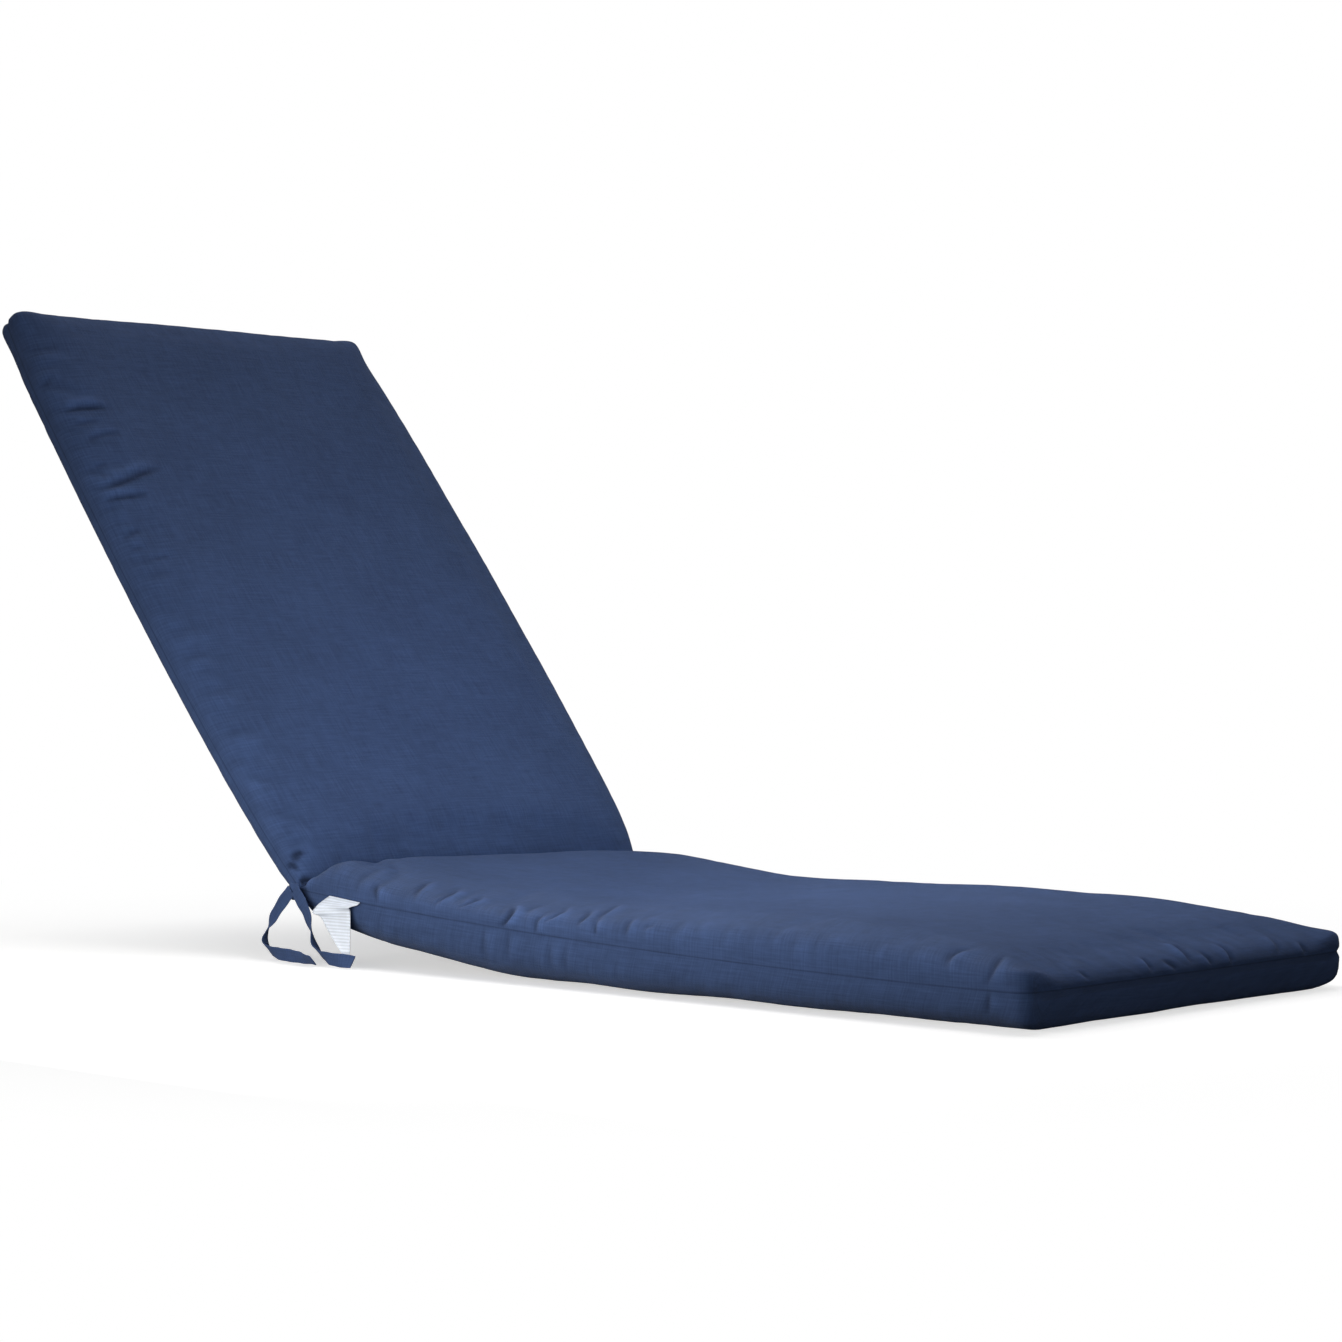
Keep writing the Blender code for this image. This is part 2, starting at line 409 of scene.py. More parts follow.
@dataclass(frozen=True)
class Satin:
    """Thin white satin: fine ribs across the label, a soft sheen and faint handling marks."""

    name: str = "white_satin"
    colour: tuple[float, float, float] = (0.640, 0.710, 0.830)
    rib_pitch: float = 0.0034
    rib_depth: float = 0.00012
    rib_shade: float = 0.11
    mark_scales: tuple[float, float] = (60.0, 90.0)
    mark_shade: float = 0.35
    roughness: float = 0.42
    sheen: float = 0.25
    specular: float = 0.5

    def material(self) -> bpy.types.Material:
        """Build the material.

        Returns:
            The finished material.
        """
        tree = ShaderTree(self.name)
        u, v = tree.flat_pattern()
        ribs = (v * (2.0 * pi / self.rib_pitch)).sine()
        marks = tree.noise(u, v, *self.mark_scales, detail=3.0)
        brightness = 1.0 + ribs * self.rib_shade + marks * self.mark_shade
        return tree.finish({
            "Base Color": tree.shade(self.colour, brightness),
            "Roughness": self.roughness,
            "Sheen Weight": self.sheen,
            "Specular IOR Level": self.specular,
            "Normal": tree.bump(ribs * 0.5 + 0.5, self.rib_depth),
        })


class Face(Enum):
    """The cover's two panels, which meet at the seam."""

    UPPER = 1
    LOWER = -1


class Seam(Enum):
    """The stretches of seam that puckers start from."""

    NEAR = "near side"
    FAR = "far side"
    FOOT = "foot end"
    HEAD = "head end"


# For each stretch of seam, the points' places along it and their distances from it
SeamPlaces = dict[Seam, tuple[np.ndarray, np.ndarray]]


@dataclass(frozen=True)
class Places:
    """Where a grid's points lie on a panel, in metres.

    Run is the distance from the channel, y the place across and half the half width there.
    Side_gap and end_gap are the distances from the nearer side seam and from the end seam.
    """

    run: np.ndarray
    y: np.ndarray
    half: np.ndarray
    side_gap: np.ndarray
    end_gap: np.ndarray


@dataclass(frozen=True)
class CoverForm:
    """Sizes of the filled cover, in metres, and its surface as a function of two parameters.

    A roll is the reach of a rounding from its seam, and a power is its superellipse's.
    """

    width: float = 0.560
    seat_length: float = 0.957
    back_length: float = 0.813
    back_angle: float = radians(51.67)
    channel_height: float = 0.075
    channel_half: float = 0.004
    channel_reach: float = 0.024
    foot_corner: float = 0.016
    head_corner: float = 0.009
    head_taper: float = 0.0048
    head_taper_length: float = 0.110
    side_roll: float = 0.055
    side_power: float = 2.7
    seat_top: float = 0.0815
    seat_crest: float = 0.0206
    seat_crest_length: float = 0.520
    seat_sag: float = 0.0074
    seat_sag_place: float = 0.308
    seat_sag_length: float = 0.148
    seat_drop: float = 0.0146
    seat_drop_length: float = 0.250
    seat_crown: float = 0.053
    foot_roll: float = 0.093
    foot_power: float = 2.5
    foot_under_roll: float = 0.022
    foot_under_power: float = 2.5
    seam_height: float = 0.037
    seam_rise_length: float = 0.950
    side_lift: float = 0.045
    side_lift_length: float = 0.420
    under_curve: float = 0.140
    under_flat: float = 0.060
    under_flat_gain: float = 0.170
    under_flat_start: float = 0.100
    back_front: float = 0.0323
    back_rear: float = 0.0245
    back_crown: float = 0.053
    back_bow: float = 0.0105
    back_rear_curve: float = 0.040
    back_rear_power: float = 2.6
    head_roll: float = 0.030
    head_power: float = 2.6
    draw_in: float = 0.0125
    draw_in_far: float = 0.0040
    draw_in_reach: float = 0.080
    puff: float = 0.0100
    puff_place: tuple[float, float] = (0.045, 0.090)
    puff_size: tuple[float, float] = (0.055, 0.200)
    shoulder: float = 0.0100
    shoulder_place: tuple[float, float] = (0.030, 0.030)
    shoulder_size: tuple[float, float] = (0.035, 0.050)
    ear_seat: float = 0.013
    ear_front: float = 0.011
    ear_rear: float = 0.005
    ear_length: float = 0.050
    ear_level: float = 0.2
    ear_roll: float = 0.0045
    ear_power: float = 2.4

    def half_width(self, run: np.ndarray, length: np.ndarray, seat: np.ndarray,
                   share: np.ndarray) -> np.ndarray:
        """Half the width: a straight side less the draw-in at the channel, with round corners.

        The draw-in fades as e to the power of minus the run over its reach, and is smaller on the
        far side. The back section's side bulges as a sine of its length, less a taper at the head.

        Args:
            run: Distance from the channel.
            length: The section's whole length.
            seat: True on the seat section.
            share: Share of the half width, above 0 on the far side.

        Returns:
            Half the width at each point.
        """
        near_channel = np.exp(-run / self.draw_in_reach)
        bow = np.where(seat, 0.0, self.back_bow)
        half = self.width / 2 - self.draw_in * near_channel + bow * np.sin(pi * run / length)
        corner = np.where(seat, self.foot_corner, self.head_corner)
        past = np.clip(1.0 - (length - run) / corner, 0.0, 1.0)
        half = half - corner * (1.0 - np.sqrt(1.0 - past ** 2))
        taper = smooth_step(self.back_length - self.head_taper_length, self.back_length, run)
        half = half - np.where(seat, 0.0, self.head_taper * taper)
        spared = (self.draw_in - self.draw_in_far) * near_channel
        return half + np.where(share > 0.0, spared, 0.0)

    @staticmethod
    def loft(at: Places, side: tuple[float, float], end: tuple[float, float]) -> np.ndarray:
        """Fullness from the side seams and the end seam together.

        One less the length of the pair of shortfalls, so that a corner is lower than either edge.

        Args:
            at: The points' places.
            side: Roll and power from the side seams.
            end: Roll and power from the end seam.

        Returns:
            The fullness, 0 on a seam and 1 inside.
        """
        shortfall = np.hypot(1.0 - fullness(at.side_gap, *side), 1.0 - fullness(at.end_gap, *end))
        return np.maximum(0.0, 1.0 - shortfall)

    def filled(self, depth: np.ndarray, at: Places, end: tuple[float, float], ear: float) -> np.ndarray:
        """Depth of the filling under a panel: a rounded loft, with a boxed ear in each corner.

        An ear is a low wall that fades with the distance from its corner. It fills up within a
        few millimetres of both seams, and the rest of the depth follows the rounded loft.

        Args:
            depth: The full depth at each point.
            at: The points' places.
            end: Roll and power from the end seam.
            ear: Height of the ears' walls.

        Returns:
            The depth from the seam.
        """
        from_corner = np.hypot(at.side_gap, at.end_gap)
        faded = smooth_step(self.ear_level * self.ear_length, self.ear_length, from_corner)
        wall = ear * (1.0 - faded)
        steep = (self.ear_roll, self.ear_power)
        rounded = self.loft(at, (self.side_roll, self.side_power), end)
        return wall * self.loft(at, steep, steep) + (depth - wall) * rounded

    def surface(self, along: np.ndarray, share: np.ndarray, face: Face) -> np.ndarray:
        """The cover's surface, in metres in the object's frame.

        Along is below 0 on the back section, 0 at the channel and above 0 on the seat section.
        Share runs from -1 at the near seam to 1 at the far one. A point is the seam plane's
        point plus the section's depth times its fullness, square to that plane.

        Args:
            along: Signed distances from the channel, in rising order.
            share: Shares of the half width, in rising order.
            face: The panel.

        Returns:
            Points, shape (along, share, 3).
        """
        a = along[:, None]
        run = np.abs(a)
        seat = a >= 0.0
        length = np.where(seat, self.seat_length, self.back_length)
        half = self.half_width(run, length, seat, share[None, :])
        y = half * share
        at = Places(run, y, half, half - np.abs(y), length - run + 0.0 * y)
        rise = 1.0 - np.exp(-run / self.channel_reach)
        head = (self.head_roll, self.head_power)
        if face is Face.UPPER:
            seat_points = self.seat_upper(at, rise)
            depth = self.channel_half + (self.back_front - self.channel_half) * rise
            depth = depth * (1.0 - self.back_crown * (y / half) ** 2)
            offset = self.filled(depth, at, head, self.ear_front)
        else:
            seat_points = self.seat_lower(at)
            behind = fullness(run, self.back_rear_curve, self.back_rear_power)
            depth = self.channel_half + (self.back_rear - self.channel_half) * behind + 0.0 * y
            offset = -self.filled(depth, at, head, self.ear_rear)
        back_x = -run * cos(self.back_angle) + offset * sin(self.back_angle)
        back_z = self.channel_height + run * sin(self.back_angle) + offset * cos(self.back_angle)
        x = np.where(seat, run + 0.0 * y, back_x)
        z = np.where(seat, seat_points, back_z)
        return np.stack((x + CHANNEL_X, y, z), axis=2)

    def seat_seam(self, run: np.ndarray) -> np.ndarray:
        """Height of the seat section's seam, a parabola that rises towards the channel."""
        rise = np.maximum(0.0, 1.0 - run / self.seam_rise_length) ** 2
        return self.seam_height + (self.channel_height - self.seam_height) * rise

    @staticmethod
    def lump(at: Places, height: float, place: tuple[float, float],
             size: tuple[float, float]) -> np.ndarray:
        """A rise of the filling: a bell of the run times a bell of the distance from the near seam."""
        return height * bell(at.run - place[0], size[0]) * bell(at.y + at.half - place[1], size[1])

    def seat_upper(self, at: Places, rise: np.ndarray) -> np.ndarray:
        """Heights of the seat section's upper face: seam height plus loft, with a crown across.

        Along the seat, a parabola lifts the loft towards the channel, a bell dips it at mid length
        and a smooth step lowers it at the foot. Two lumps fill it beside the tie.

        Args:
            at: The points' places.
            rise: Share of the loft reached beyond the channel.

        Returns:
            Heights above the surface that the cushion rests on.
        """
        seam = self.seat_seam(at.run)
        crest = self.seat_crest * np.maximum(0.0, 1.0 - at.run / self.seat_crest_length) ** 2
        sag = self.seat_sag * bell(at.run - self.seat_sag_place, self.seat_sag_length)
        foot = smooth_step(self.seat_length - self.seat_drop_length, self.seat_length, at.run)
        lumps = (
            self.lump(at, self.puff, self.puff_place, self.puff_size)
            + self.lump(at, self.shoulder, self.shoulder_place, self.shoulder_size))
        above = self.seat_top + crest - sag - self.seat_drop * foot - seam - self.channel_half + lumps
        above = self.channel_half + above * rise
        above = above * (1.0 - self.seat_crown * (at.y / at.half) ** 2)
        return seam + self.filled(above, at, (self.foot_roll, self.foot_power), self.ear_seat)

    def seat_lower(self, at: Places) -> np.ndarray:
        """Heights of the seat section's lower face: flat, and lifting at the sides and channel.

        Args:
            at: The points' places.

        Returns:
            Heights above the surface that the cushion rests on.
        """
        seam = self.seat_seam(at.run)
        t = np.maximum(0.0, 1.0 - at.run / self.under_curve)
        middle = (self.channel_height - self.channel_half) * (1.0 - np.sqrt(1.0 - t ** 2))
        edge = self.side_lift * np.maximum(0.0, 1.0 - at.run / self.side_lift_length) ** 2
        flat = self.under_flat + self.under_flat_gain * smooth_step(
            self.under_flat_start, self.side_lift_length, at.run)
        sides = smooth_step(flat, at.half, np.abs(at.y))
        under = middle + np.maximum(0.0, edge - middle) * sides
        rounding = (self.foot_under_roll, self.foot_under_power)
        return seam - self.filled(seam - under, at, rounding, self.ear_seat)


# A crease's ridge stands this far from its groove and is this wide, in widths of the groove
RIDGE_PLACE = 2.2
RIDGE_WIDTH = 2.0
# A crease's fade at its ends: reach from its middle, as a share of its length, and power
FADE_REACH = 0.46
FADE_POWER = 4


@dataclass(frozen=True)
class Pucker:
    """A short crease in the cloth through three places beside a seam.

    Places are (along the seam, away from it), in metres on the flat cloth. The cloth sinks by
    depth along a parabola through them, and rises beside it in a ridge.
    """

    start: tuple[float, float]
    middle: tuple[float, float]
    end: tuple[float, float]
    depth: float
    width: float
    ridge: float = 0.6

    def height(self, along_seam: np.ndarray, from_seam: np.ndarray) -> np.ndarray:
        """Signed height: a groove bell and a ridge bell beside it, both fading at the crease's ends.

        Share t runs from 0 to 1 along the chord. The crease leaves the chord by 4 b t (1 - t),
        where b is set so that it passes through the middle place.

        Args:
            along_seam: Each point's place along the seam.
            from_seam: Each point's distance from it.

        Returns:
            Heights in metres, below 0 in the groove.
        """
        run = (self.end[0] - self.start[0], self.end[1] - self.start[1])
        length = (run[0] ** 2 + run[1] ** 2) ** 0.5

        def chord_place(along: np.ndarray | float, away: np.ndarray | float) -> tuple:
            """A place's share along the chord, and its offset square to it."""
            step = (along - self.start[0], away - self.start[1])
            share = (step[0] * run[0] + step[1] * run[1]) / length ** 2
            return share, (step[0] * run[1] - step[1] * run[0]) / length

        middle_share, middle_offset = chord_place(*self.middle)
        bend = middle_offset / (4.0 * middle_share * (1.0 - middle_share))
        t, offset = chord_place(along_seam, from_seam)
        inside = np.clip(t, 0.0, 1.0)
        offset = offset - 4.0 * bend * inside * (1.0 - inside)
        fade = np.exp(-(((t - 0.5) / FADE_REACH) ** FADE_POWER))
        groove = bell(offset, self.width)
        ridge = bell(offset - RIDGE_PLACE * self.width, RIDGE_WIDTH * self.width)
        return self.depth * fade * (self.ridge * ridge - groove)


# Creases that the photograph shows, each through three places (along the seam, away from it),
# with its depth and width, and its ridge's share where that isn't the usual one. On the back
# section they run outwards, so that the ridge lies above.
BACK_PUCKERS = (
    Pucker((-0.6621, 0.0761), (-0.6631, 0.0422), (-0.6581, 0.0239), 0.0028, 0.0036),
    Pucker((-0.6430, 0.0573), (-0.6404, 0.0422), (-0.6377, 0.0271), 0.0011, 0.0030),
    Pucker((-0.6222, 0.0793), (-0.6220, 0.0574), (-0.6137, 0.0342), 0.0014, 0.0032),
    Pucker((-0.5790, 0.0424), (-0.5768, 0.0348), (-0.5746, 0.0272), 0.0010, 0.0028),
    Pucker((-0.5696, 0.1055), (-0.5547, 0.0577), (-0.5431, 0.0272), 0.0030, 0.0042),
    Pucker((-0.5339, 0.0739), (-0.5306, 0.0425), (-0.5270, 0.0209), 0.0025, 0.0036),
    Pucker((-0.4823, 0.0426), (-0.4773, 0.0318), (-0.4723, 0.0210), 0.0015, 0.0034),
    Pucker((-0.4587, 0.0384), (-0.4575, 0.0312), (-0.4562, 0.0241), 0.0011, 0.0030),
    Pucker((-0.4455, 0.0644), (-0.4427, 0.0514), (-0.4398, 0.0384), 0.0010, 0.0030),
    Pucker((-0.7126, 0.0304), (-0.7064, 0.0227), (-0.7002, 0.0149), 0.0011, 0.0035),
    Pucker((-0.0400, 0.0290), (-0.0384, 0.0224), (-0.0317, 0.0135), 0.0046, 0.0034, 0.10),
    Pucker((-0.0278, 0.0020), (-0.0264, 0.0080), (-0.0207, 0.0110), 0.0046, 0.0034, 0.10),
    Pucker((-0.0040, 0.0220), (-0.0060, 0.0130), (-0.0050, 0.0050), 0.0070, 0.0040, 0.10),
)
SEAT_PUCKERS = (
    Pucker((0.0070, 0.0060), (0.0090, 0.0140), (0.0140, 0.0210), 0.0035, 0.0032),
    Pucker((0.1299, 0.0042), (0.1250, 0.0151), (0.1202, 0.0261), 0.0026, 0.0036),
    Pucker((0.1840, 0.0165), (0.1787, 0.0366), (0.1690, 0.0607), 0.0026, 0.0036),
    Pucker((0.2161, 0.0136), (0.2226, 0.0359), (0.2104, 0.0589), 0.0031, 0.0038),
    Pucker((0.2510, 0.0157), (0.2617, 0.0314), (0.2495, 0.0544), 0.0029, 0.0036),
    Pucker((0.3100, 0.0000), (0.3225, 0.0159), (0.3119, 0.0396), 0.0046, 0.0040),
    Pucker((0.3608, 0.0000), (0.3616, 0.0168), (0.3645, 0.0226), 0.0025, 0.0034),
    Pucker((0.3703, 0.0120), (0.3838, 0.0337), (0.3703, 0.0559), 0.0026, 0.0036),
    Pucker((0.4166, 0.0160), (0.4204, 0.0316), (0.4058, 0.0531), 0.0023, 0.0036),
    Pucker((0.4414, 0.0083), (0.4396, 0.0154), (0.4379, 0.0225), 0.0025, 0.0030),
    Pucker((0.4402, 0.0226), (0.4329, 0.0547), (0.4227, 0.0786), 0.0023, 0.0036),
    Pucker((0.4807, 0.0123), (0.4816, 0.0234), (0.4826, 0.0345), 0.0019, 0.0034),
    Pucker((0.5021, 0.0219), (0.5084, 0.0253), (0.5147, 0.0287), 0.0016, 0.0036),
    Pucker((0.8711, 0.0185), (0.8727, 0.0347), (0.8896, 0.0512), 0.0019, 0.0036),
    Pucker((0.9136, 0.0053), (0.9215, 0.0215), (0.9217, 0.0475), 0.0023, 0.0036),
)
UNDERSIDE_PUCKERS = (
    Pucker((0.2880, 0.0040), (0.2905, 0.0175), (0.2935, 0.0330), 0.0011, 0.0040),
    Pucker((0.3226, 0.0040), (0.3251, 0.0175), (0.3284, 0.0330), 0.0013, 0.0040),
    Pucker((0.3820, 0.0070), (0.3836, 0.0205), (0.3850, 0.0340), 0.0013, 0.0042),
    Pucker((0.4028, 0.0070), (0.4055, 0.0205), (0.4084, 0.0340), 0.0010, 0.0040),
    Pucker((0.9160, 0.0000), (0.9196, 0.0112), (0.9232, 0.0224), 0.0019, 0.0030),
)
FOOT_PUCKERS = (
    Pucker((-0.0767, 0.0238), (-0.0762, 0.0146), (-0.0756, 0.0054), 0.0028, 0.0036),
    Pucker((-0.0501, 0.0162), (-0.0409, 0.0096), (-0.0317, 0.0031), 0.0025, 0.0036),
    Pucker((0.0031, 0.0390), (-0.0057, 0.0185), (-0.0057, 0.0096), 0.0043, 0.0040),
    Pucker((0.0209, 0.0210), (0.0250, 0.0121), (0.0291, 0.0031), 0.0024, 0.0036),
    Pucker((0.0653, 0.0299), (0.0650, 0.0118), (0.0636, 0.0000), 0.0032, 0.0040),
    Pucker((-0.1887, 0.0189), (-0.1849, 0.0134), (-0.1810, 0.0078), 0.0018, 0.0034),
    Pucker((0.1629, 0.0301), (0.1576, 0.0189), (0.1523, 0.0077), 0.0022, 0.0040),
    Pucker((0.1984, 0.0189), (0.2002, 0.0095), (0.2021, 0.0000), 0.0022, 0.0040),
)
SHOWN_PUCKERS = (
    (Seam.NEAR, Face.UPPER, BACK_PUCKERS + SEAT_PUCKERS),
    (Seam.NEAR, Face.LOWER, UNDERSIDE_PUCKERS),
    (Seam.FOOT, Face.UPPER, FOOT_PUCKERS),
)
# Slight puckers between them: their ridge's share, and their greatest depth beside each seam
COMMON_RIDGE = 0.8
COMMON_DEPTH = {
    (Seam.NEAR, Face.UPPER): 0.0011,
    (Seam.NEAR, Face.LOWER): 0.0005,
    (Seam.FAR, Face.UPPER): 0.0002,
    (Seam.FAR, Face.LOWER): 0.0004,
    (Seam.FOOT, Face.UPPER): 0.0006,
    (Seam.FOOT, Face.LOWER): 0.0004,
    (Seam.HEAD, Face.UPPER): 0.0004,
    (Seam.HEAD, Face.LOWER): 0.0004,
}


@dataclass(frozen=True)
class Grid:
    """How closely a grid's rows and columns lie on the cover.

    Each stretch says where it stops, in metres from the channel, and its rows' spacing, and the
    last one stops at the foot's rounding. Side cells are the cells on each side's rounding, on
    the creased stretch beside the near one, and on the rest of the width.
    """

    end_cells: int
    stretches: tuple[tuple[float, float], ...]
    last_spacing: float
    side_cells: tuple[int, int, int]


FINE = Grid(
    13, ((-0.700, 0.0035), (-0.370, 0.0021), (-0.055, 0.0060), (0.530, 0.0024), (0.860, 0.0065)),
    0.0023, (17, 34, 117))
COARSE = Grid(4, (), 0.0120, (5, 8, 28))
# Power that spaces the rows evenly on the ends' rounding
END_POWER = 0.8


@dataclass
class CushionCover:
    """The filled cover with its crown, drawn-in sides, sewn channel, seam and puckers.

    Depths, widths, reaches and margins are in metres. The blow values are the cloth simulation's
    slack, pressure and frames, and what is kept of its movement: its greatest size, the distance
    over which it sets in from the seam, and its share on the lower panel. A pair of numbers whose
    name starts with slight is the range of a random draw.
    """

    form: CoverForm
    cloth: WovenCloth
    blow_shrink: float = 0.90
    blow_pressure: float = 4.0
    blow_frames: int = 20
    blow_cap: float = 0.005
    blow_fade: float = 0.110
    blow_under: float = 0.25
    creased_width: float = 0.150
    foot_band: float = 0.875
    upper_step: int = 3
    lower_steps: tuple[int, int] = (6, 9)
    seam_groove: float = 0.0007
    seam_groove_width: float = 0.0013
    seam_ridge: float = 0.0002
    seam_ridge_place: float = 3.2
    seam_ridge_width: float = 1.6
    corner_pinch: float = 0.0024
    corner_pinch_width: float = 0.0040
    corner_reach: float = 0.022
    edge_guard: float = 0.0030
    # Crease depth at which the painted fold shade and painted highlight are full
    painted_light_full_depth: float = 0.0024
    uneven: float = 0.0009
    uneven_waves: int = 9
    uneven_reach: float = 0.060
    uneven_lengths: tuple[float, float] = (0.09, 0.26)
    side_margin: float = 0.060
    end_margin: float = 0.040
    slight_lean: tuple[float, float] = (-0.014, 0.018)
    slight_bend: tuple[float, float] = (-0.002, 0.003)
    slight_start: tuple[float, float] = (0.010, 0.018)
    slight_length: tuple[float, float] = (0.018, 0.050)
    slight_depth: tuple[float, float] = (0.3, 1.0)
    slight_width: tuple[float, float] = (0.0040, 0.0070)
    slight_spacing: tuple[float, float] = (0.018, 0.044)
    seed: int = 7

    def stations(self, grid: Grid) -> np.ndarray:
        """Distances along the cushion, closest at the ends and where puckers lie.

        Each stretch has even steps of its own size, and the ends follow a quarter turn so that
        the rows are even on their rounding.

        Args:
            grid: The grid's closeness.

        Returns:
            Signed distances from the channel, in rising order.
        """
        form = self.form
        turned = 1.0 - np.cos(np.linspace(0.0, pi / 2, grid.end_cells + 1)) ** END_POWER
        head = -form.back_length + form.head_roll * turned
        foot = form.seat_length - form.foot_under_roll * turned[::-1]
        stretches = grid.stretches + ((form.seat_length - form.foot_under_roll, grid.last_spacing),)
        parts = [head]
        start = head[-1]
        for stop, step in stretches:
            parts.append(np.linspace(start, stop, max(2, round((stop - start) / step)) + 1)[1:])
            start = stop
        parts.append(foot[1:])
        stations = np.concatenate(parts)
        stations[np.argmin(np.abs(stations))] = 0.0
        return stations

    def shares(self, grid: Grid) -> np.ndarray:
        """Shares of the half width: close on each side's rounding and beside the near one.

        Args:
            grid: The grid's closeness.

        Returns:
            Shares from -1 to 1.
        """
        roll_cells, creased_cells, flat_cells = grid.side_cells
        form = self.form
        half = form.width / 2
        quarter = np.linspace(0.0, pi / 2, roll_cells + 1)
        rounding = form.side_roll * (1.0 - np.cos(quarter) ** (2.0 / form.side_power)) / half
        creased = np.linspace(rounding[-1], self.creased_width / half, creased_cells + 1)[1:]
        flat = np.linspace(creased[-1] - 1.0, 1.0 - rounding[-1], flat_cells + 1)[1:-1]
        return np.concatenate((rounding - 1.0, creased - 1.0, flat, 1.0 - rounding[::-1]))

    def used_vertices(self, stations: np.ndarray, columns: int) -> tuple[np.ndarray, np.ndarray]:
        """Choose the vertices that each finished panel keeps.

        The upper panel keeps all its columns near the foot, where the creases run lengthwise, and
        every third one of the smooth stretch elsewhere. The lower panel keeps fewer still.

        Args:
            stations: The fine rows' distances along the cushion.
            columns: How many fine columns there are.

        Returns:
            For the upper panel and the lower one, True where a vertex is kept.
        """
        roll_cells, creased_cells, _ = FINE.side_cells
        rolled, creased = roll_cells + 1, roll_cells + creased_cells
        creased_step, flat_step = self.lower_steps
        upper_kept = np.zeros(columns, dtype=bool)
        upper_kept[:creased + 1] = True
        upper_kept[creased::self.upper_step] = True
        upper_kept[-rolled:] = True
        lower_kept = np.zeros(columns, dtype=bool)
        lower_kept[:rolled + 1] = True
        lower_kept[creased:rolled:-creased_step] = True
        lower_kept[creased::flat_step] = True
        lower_kept[-rolled::2] = True
        lower_kept[-1] = True
        near_foot = stations > self.foot_band
        upper = np.where(near_foot[:, None], True, upper_kept[None, :])
        lower = np.repeat(lower_kept[None, :], len(stations), axis=0)
        return upper, lower

    @staticmethod
    def panel_faces(ids: np.ndarray) -> list:
        """Faces of a grid in which some rows leave out columns.

        Neighbouring rows with the same columns are joined by four-sided faces. Where one row has
        more columns than the next, each face takes in all the fuller row's vertices between two
        columns of the sparser one, so that nothing is left open.

        Args:
            ids: Vertex numbers, shape (rows, columns), -1 where a row leaves a column out.

        Returns:
            Corner indices of each face, turned towards the upper side.
        """
        used = ids >= 0
        same = np.all(used[:-1] == used[1:], axis=1)
        faces = []
        for pattern in np.unique(used, axis=0):
            kept = np.flatnonzero(pattern)
            rows = np.flatnonzero(same & np.all(used[:-1] == pattern, axis=1))
            near, far = ids[rows][:, kept], ids[rows + 1][:, kept]
            faces += joined(near[:, :-1], far[:, :-1], far[:, 1:], near[:, 1:])
        for row in np.flatnonzero(~same):
            kept = np.flatnonzero(used[row] & used[row + 1])
            for left, right in zip(kept[:-1], kept[1:]):
                near, far = ids[row, left:right + 1], ids[row + 1, left:right + 1]
                faces.append(near[near >= 0][::-1].tolist() + far[far >= 0].tolist())
        return faces

    @staticmethod
    def weld(upper: np.ndarray, lower: np.ndarray, upper_used: np.ndarray,
             lower_used: np.ndarray) -> tuple[np.ndarray, list, np.ndarray, np.ndarray]:
        """Join the two panels' grids at their shared rim.

        Args:
            upper: Upper grid, shape (rows, columns, ...).
            lower: Lower grid with the same rim.
            upper_used: True where the upper panel keeps a vertex, its near and far columns whole.
            lower_used: True where the lower panel keeps a vertex inside the rim.

        Returns:
            The kept vertices' values, the faces, and each panel's vertex numbers (-1 where left out).
        """
        rim = np.ones(upper_used.shape, dtype=bool)
        rim[1:-1, 1:-1] = False
        inner_used = lower_used & ~rim
        upper_ids = np.where(upper_used, np.cumsum(upper_used).reshape(upper_used.shape) - 1, -1)
        first_lower = int(upper_used.sum())
        lower_ids = np.where(inner_used, first_lower + np.cumsum(inner_used).reshape(rim.shape) - 1, -1)
        lower_ids[rim] = upper_ids[rim]
        values = np.concatenate((upper[upper_used].reshape(first_lower, -1),
                                 lower[inner_used].reshape(int(inner_used.sum()), -1)))
        faces = CushionCover.panel_faces(upper_ids)
        faces += [face[::-1] for face in CushionCover.panel_faces(lower_ids)]
        return values, faces, upper_ids, lower_ids

    @staticmethod
    def normals(points: np.ndarray, face: Face) -> np.ndarray:
        """Outward normals of a grid: the cross product of its two directions, made unit length.

        Args:
            points: The panel's grid.
            face: The panel.

        Returns:
            Normals, the shape of points.
        """
        along = np.gradient(points, axis=0)
        across = np.gradient(points, axis=1)
        square = np.cross(along, across) * face.value
        return square / np.maximum(np.linalg.norm(square, axis=2, keepdims=True), 1e-12)

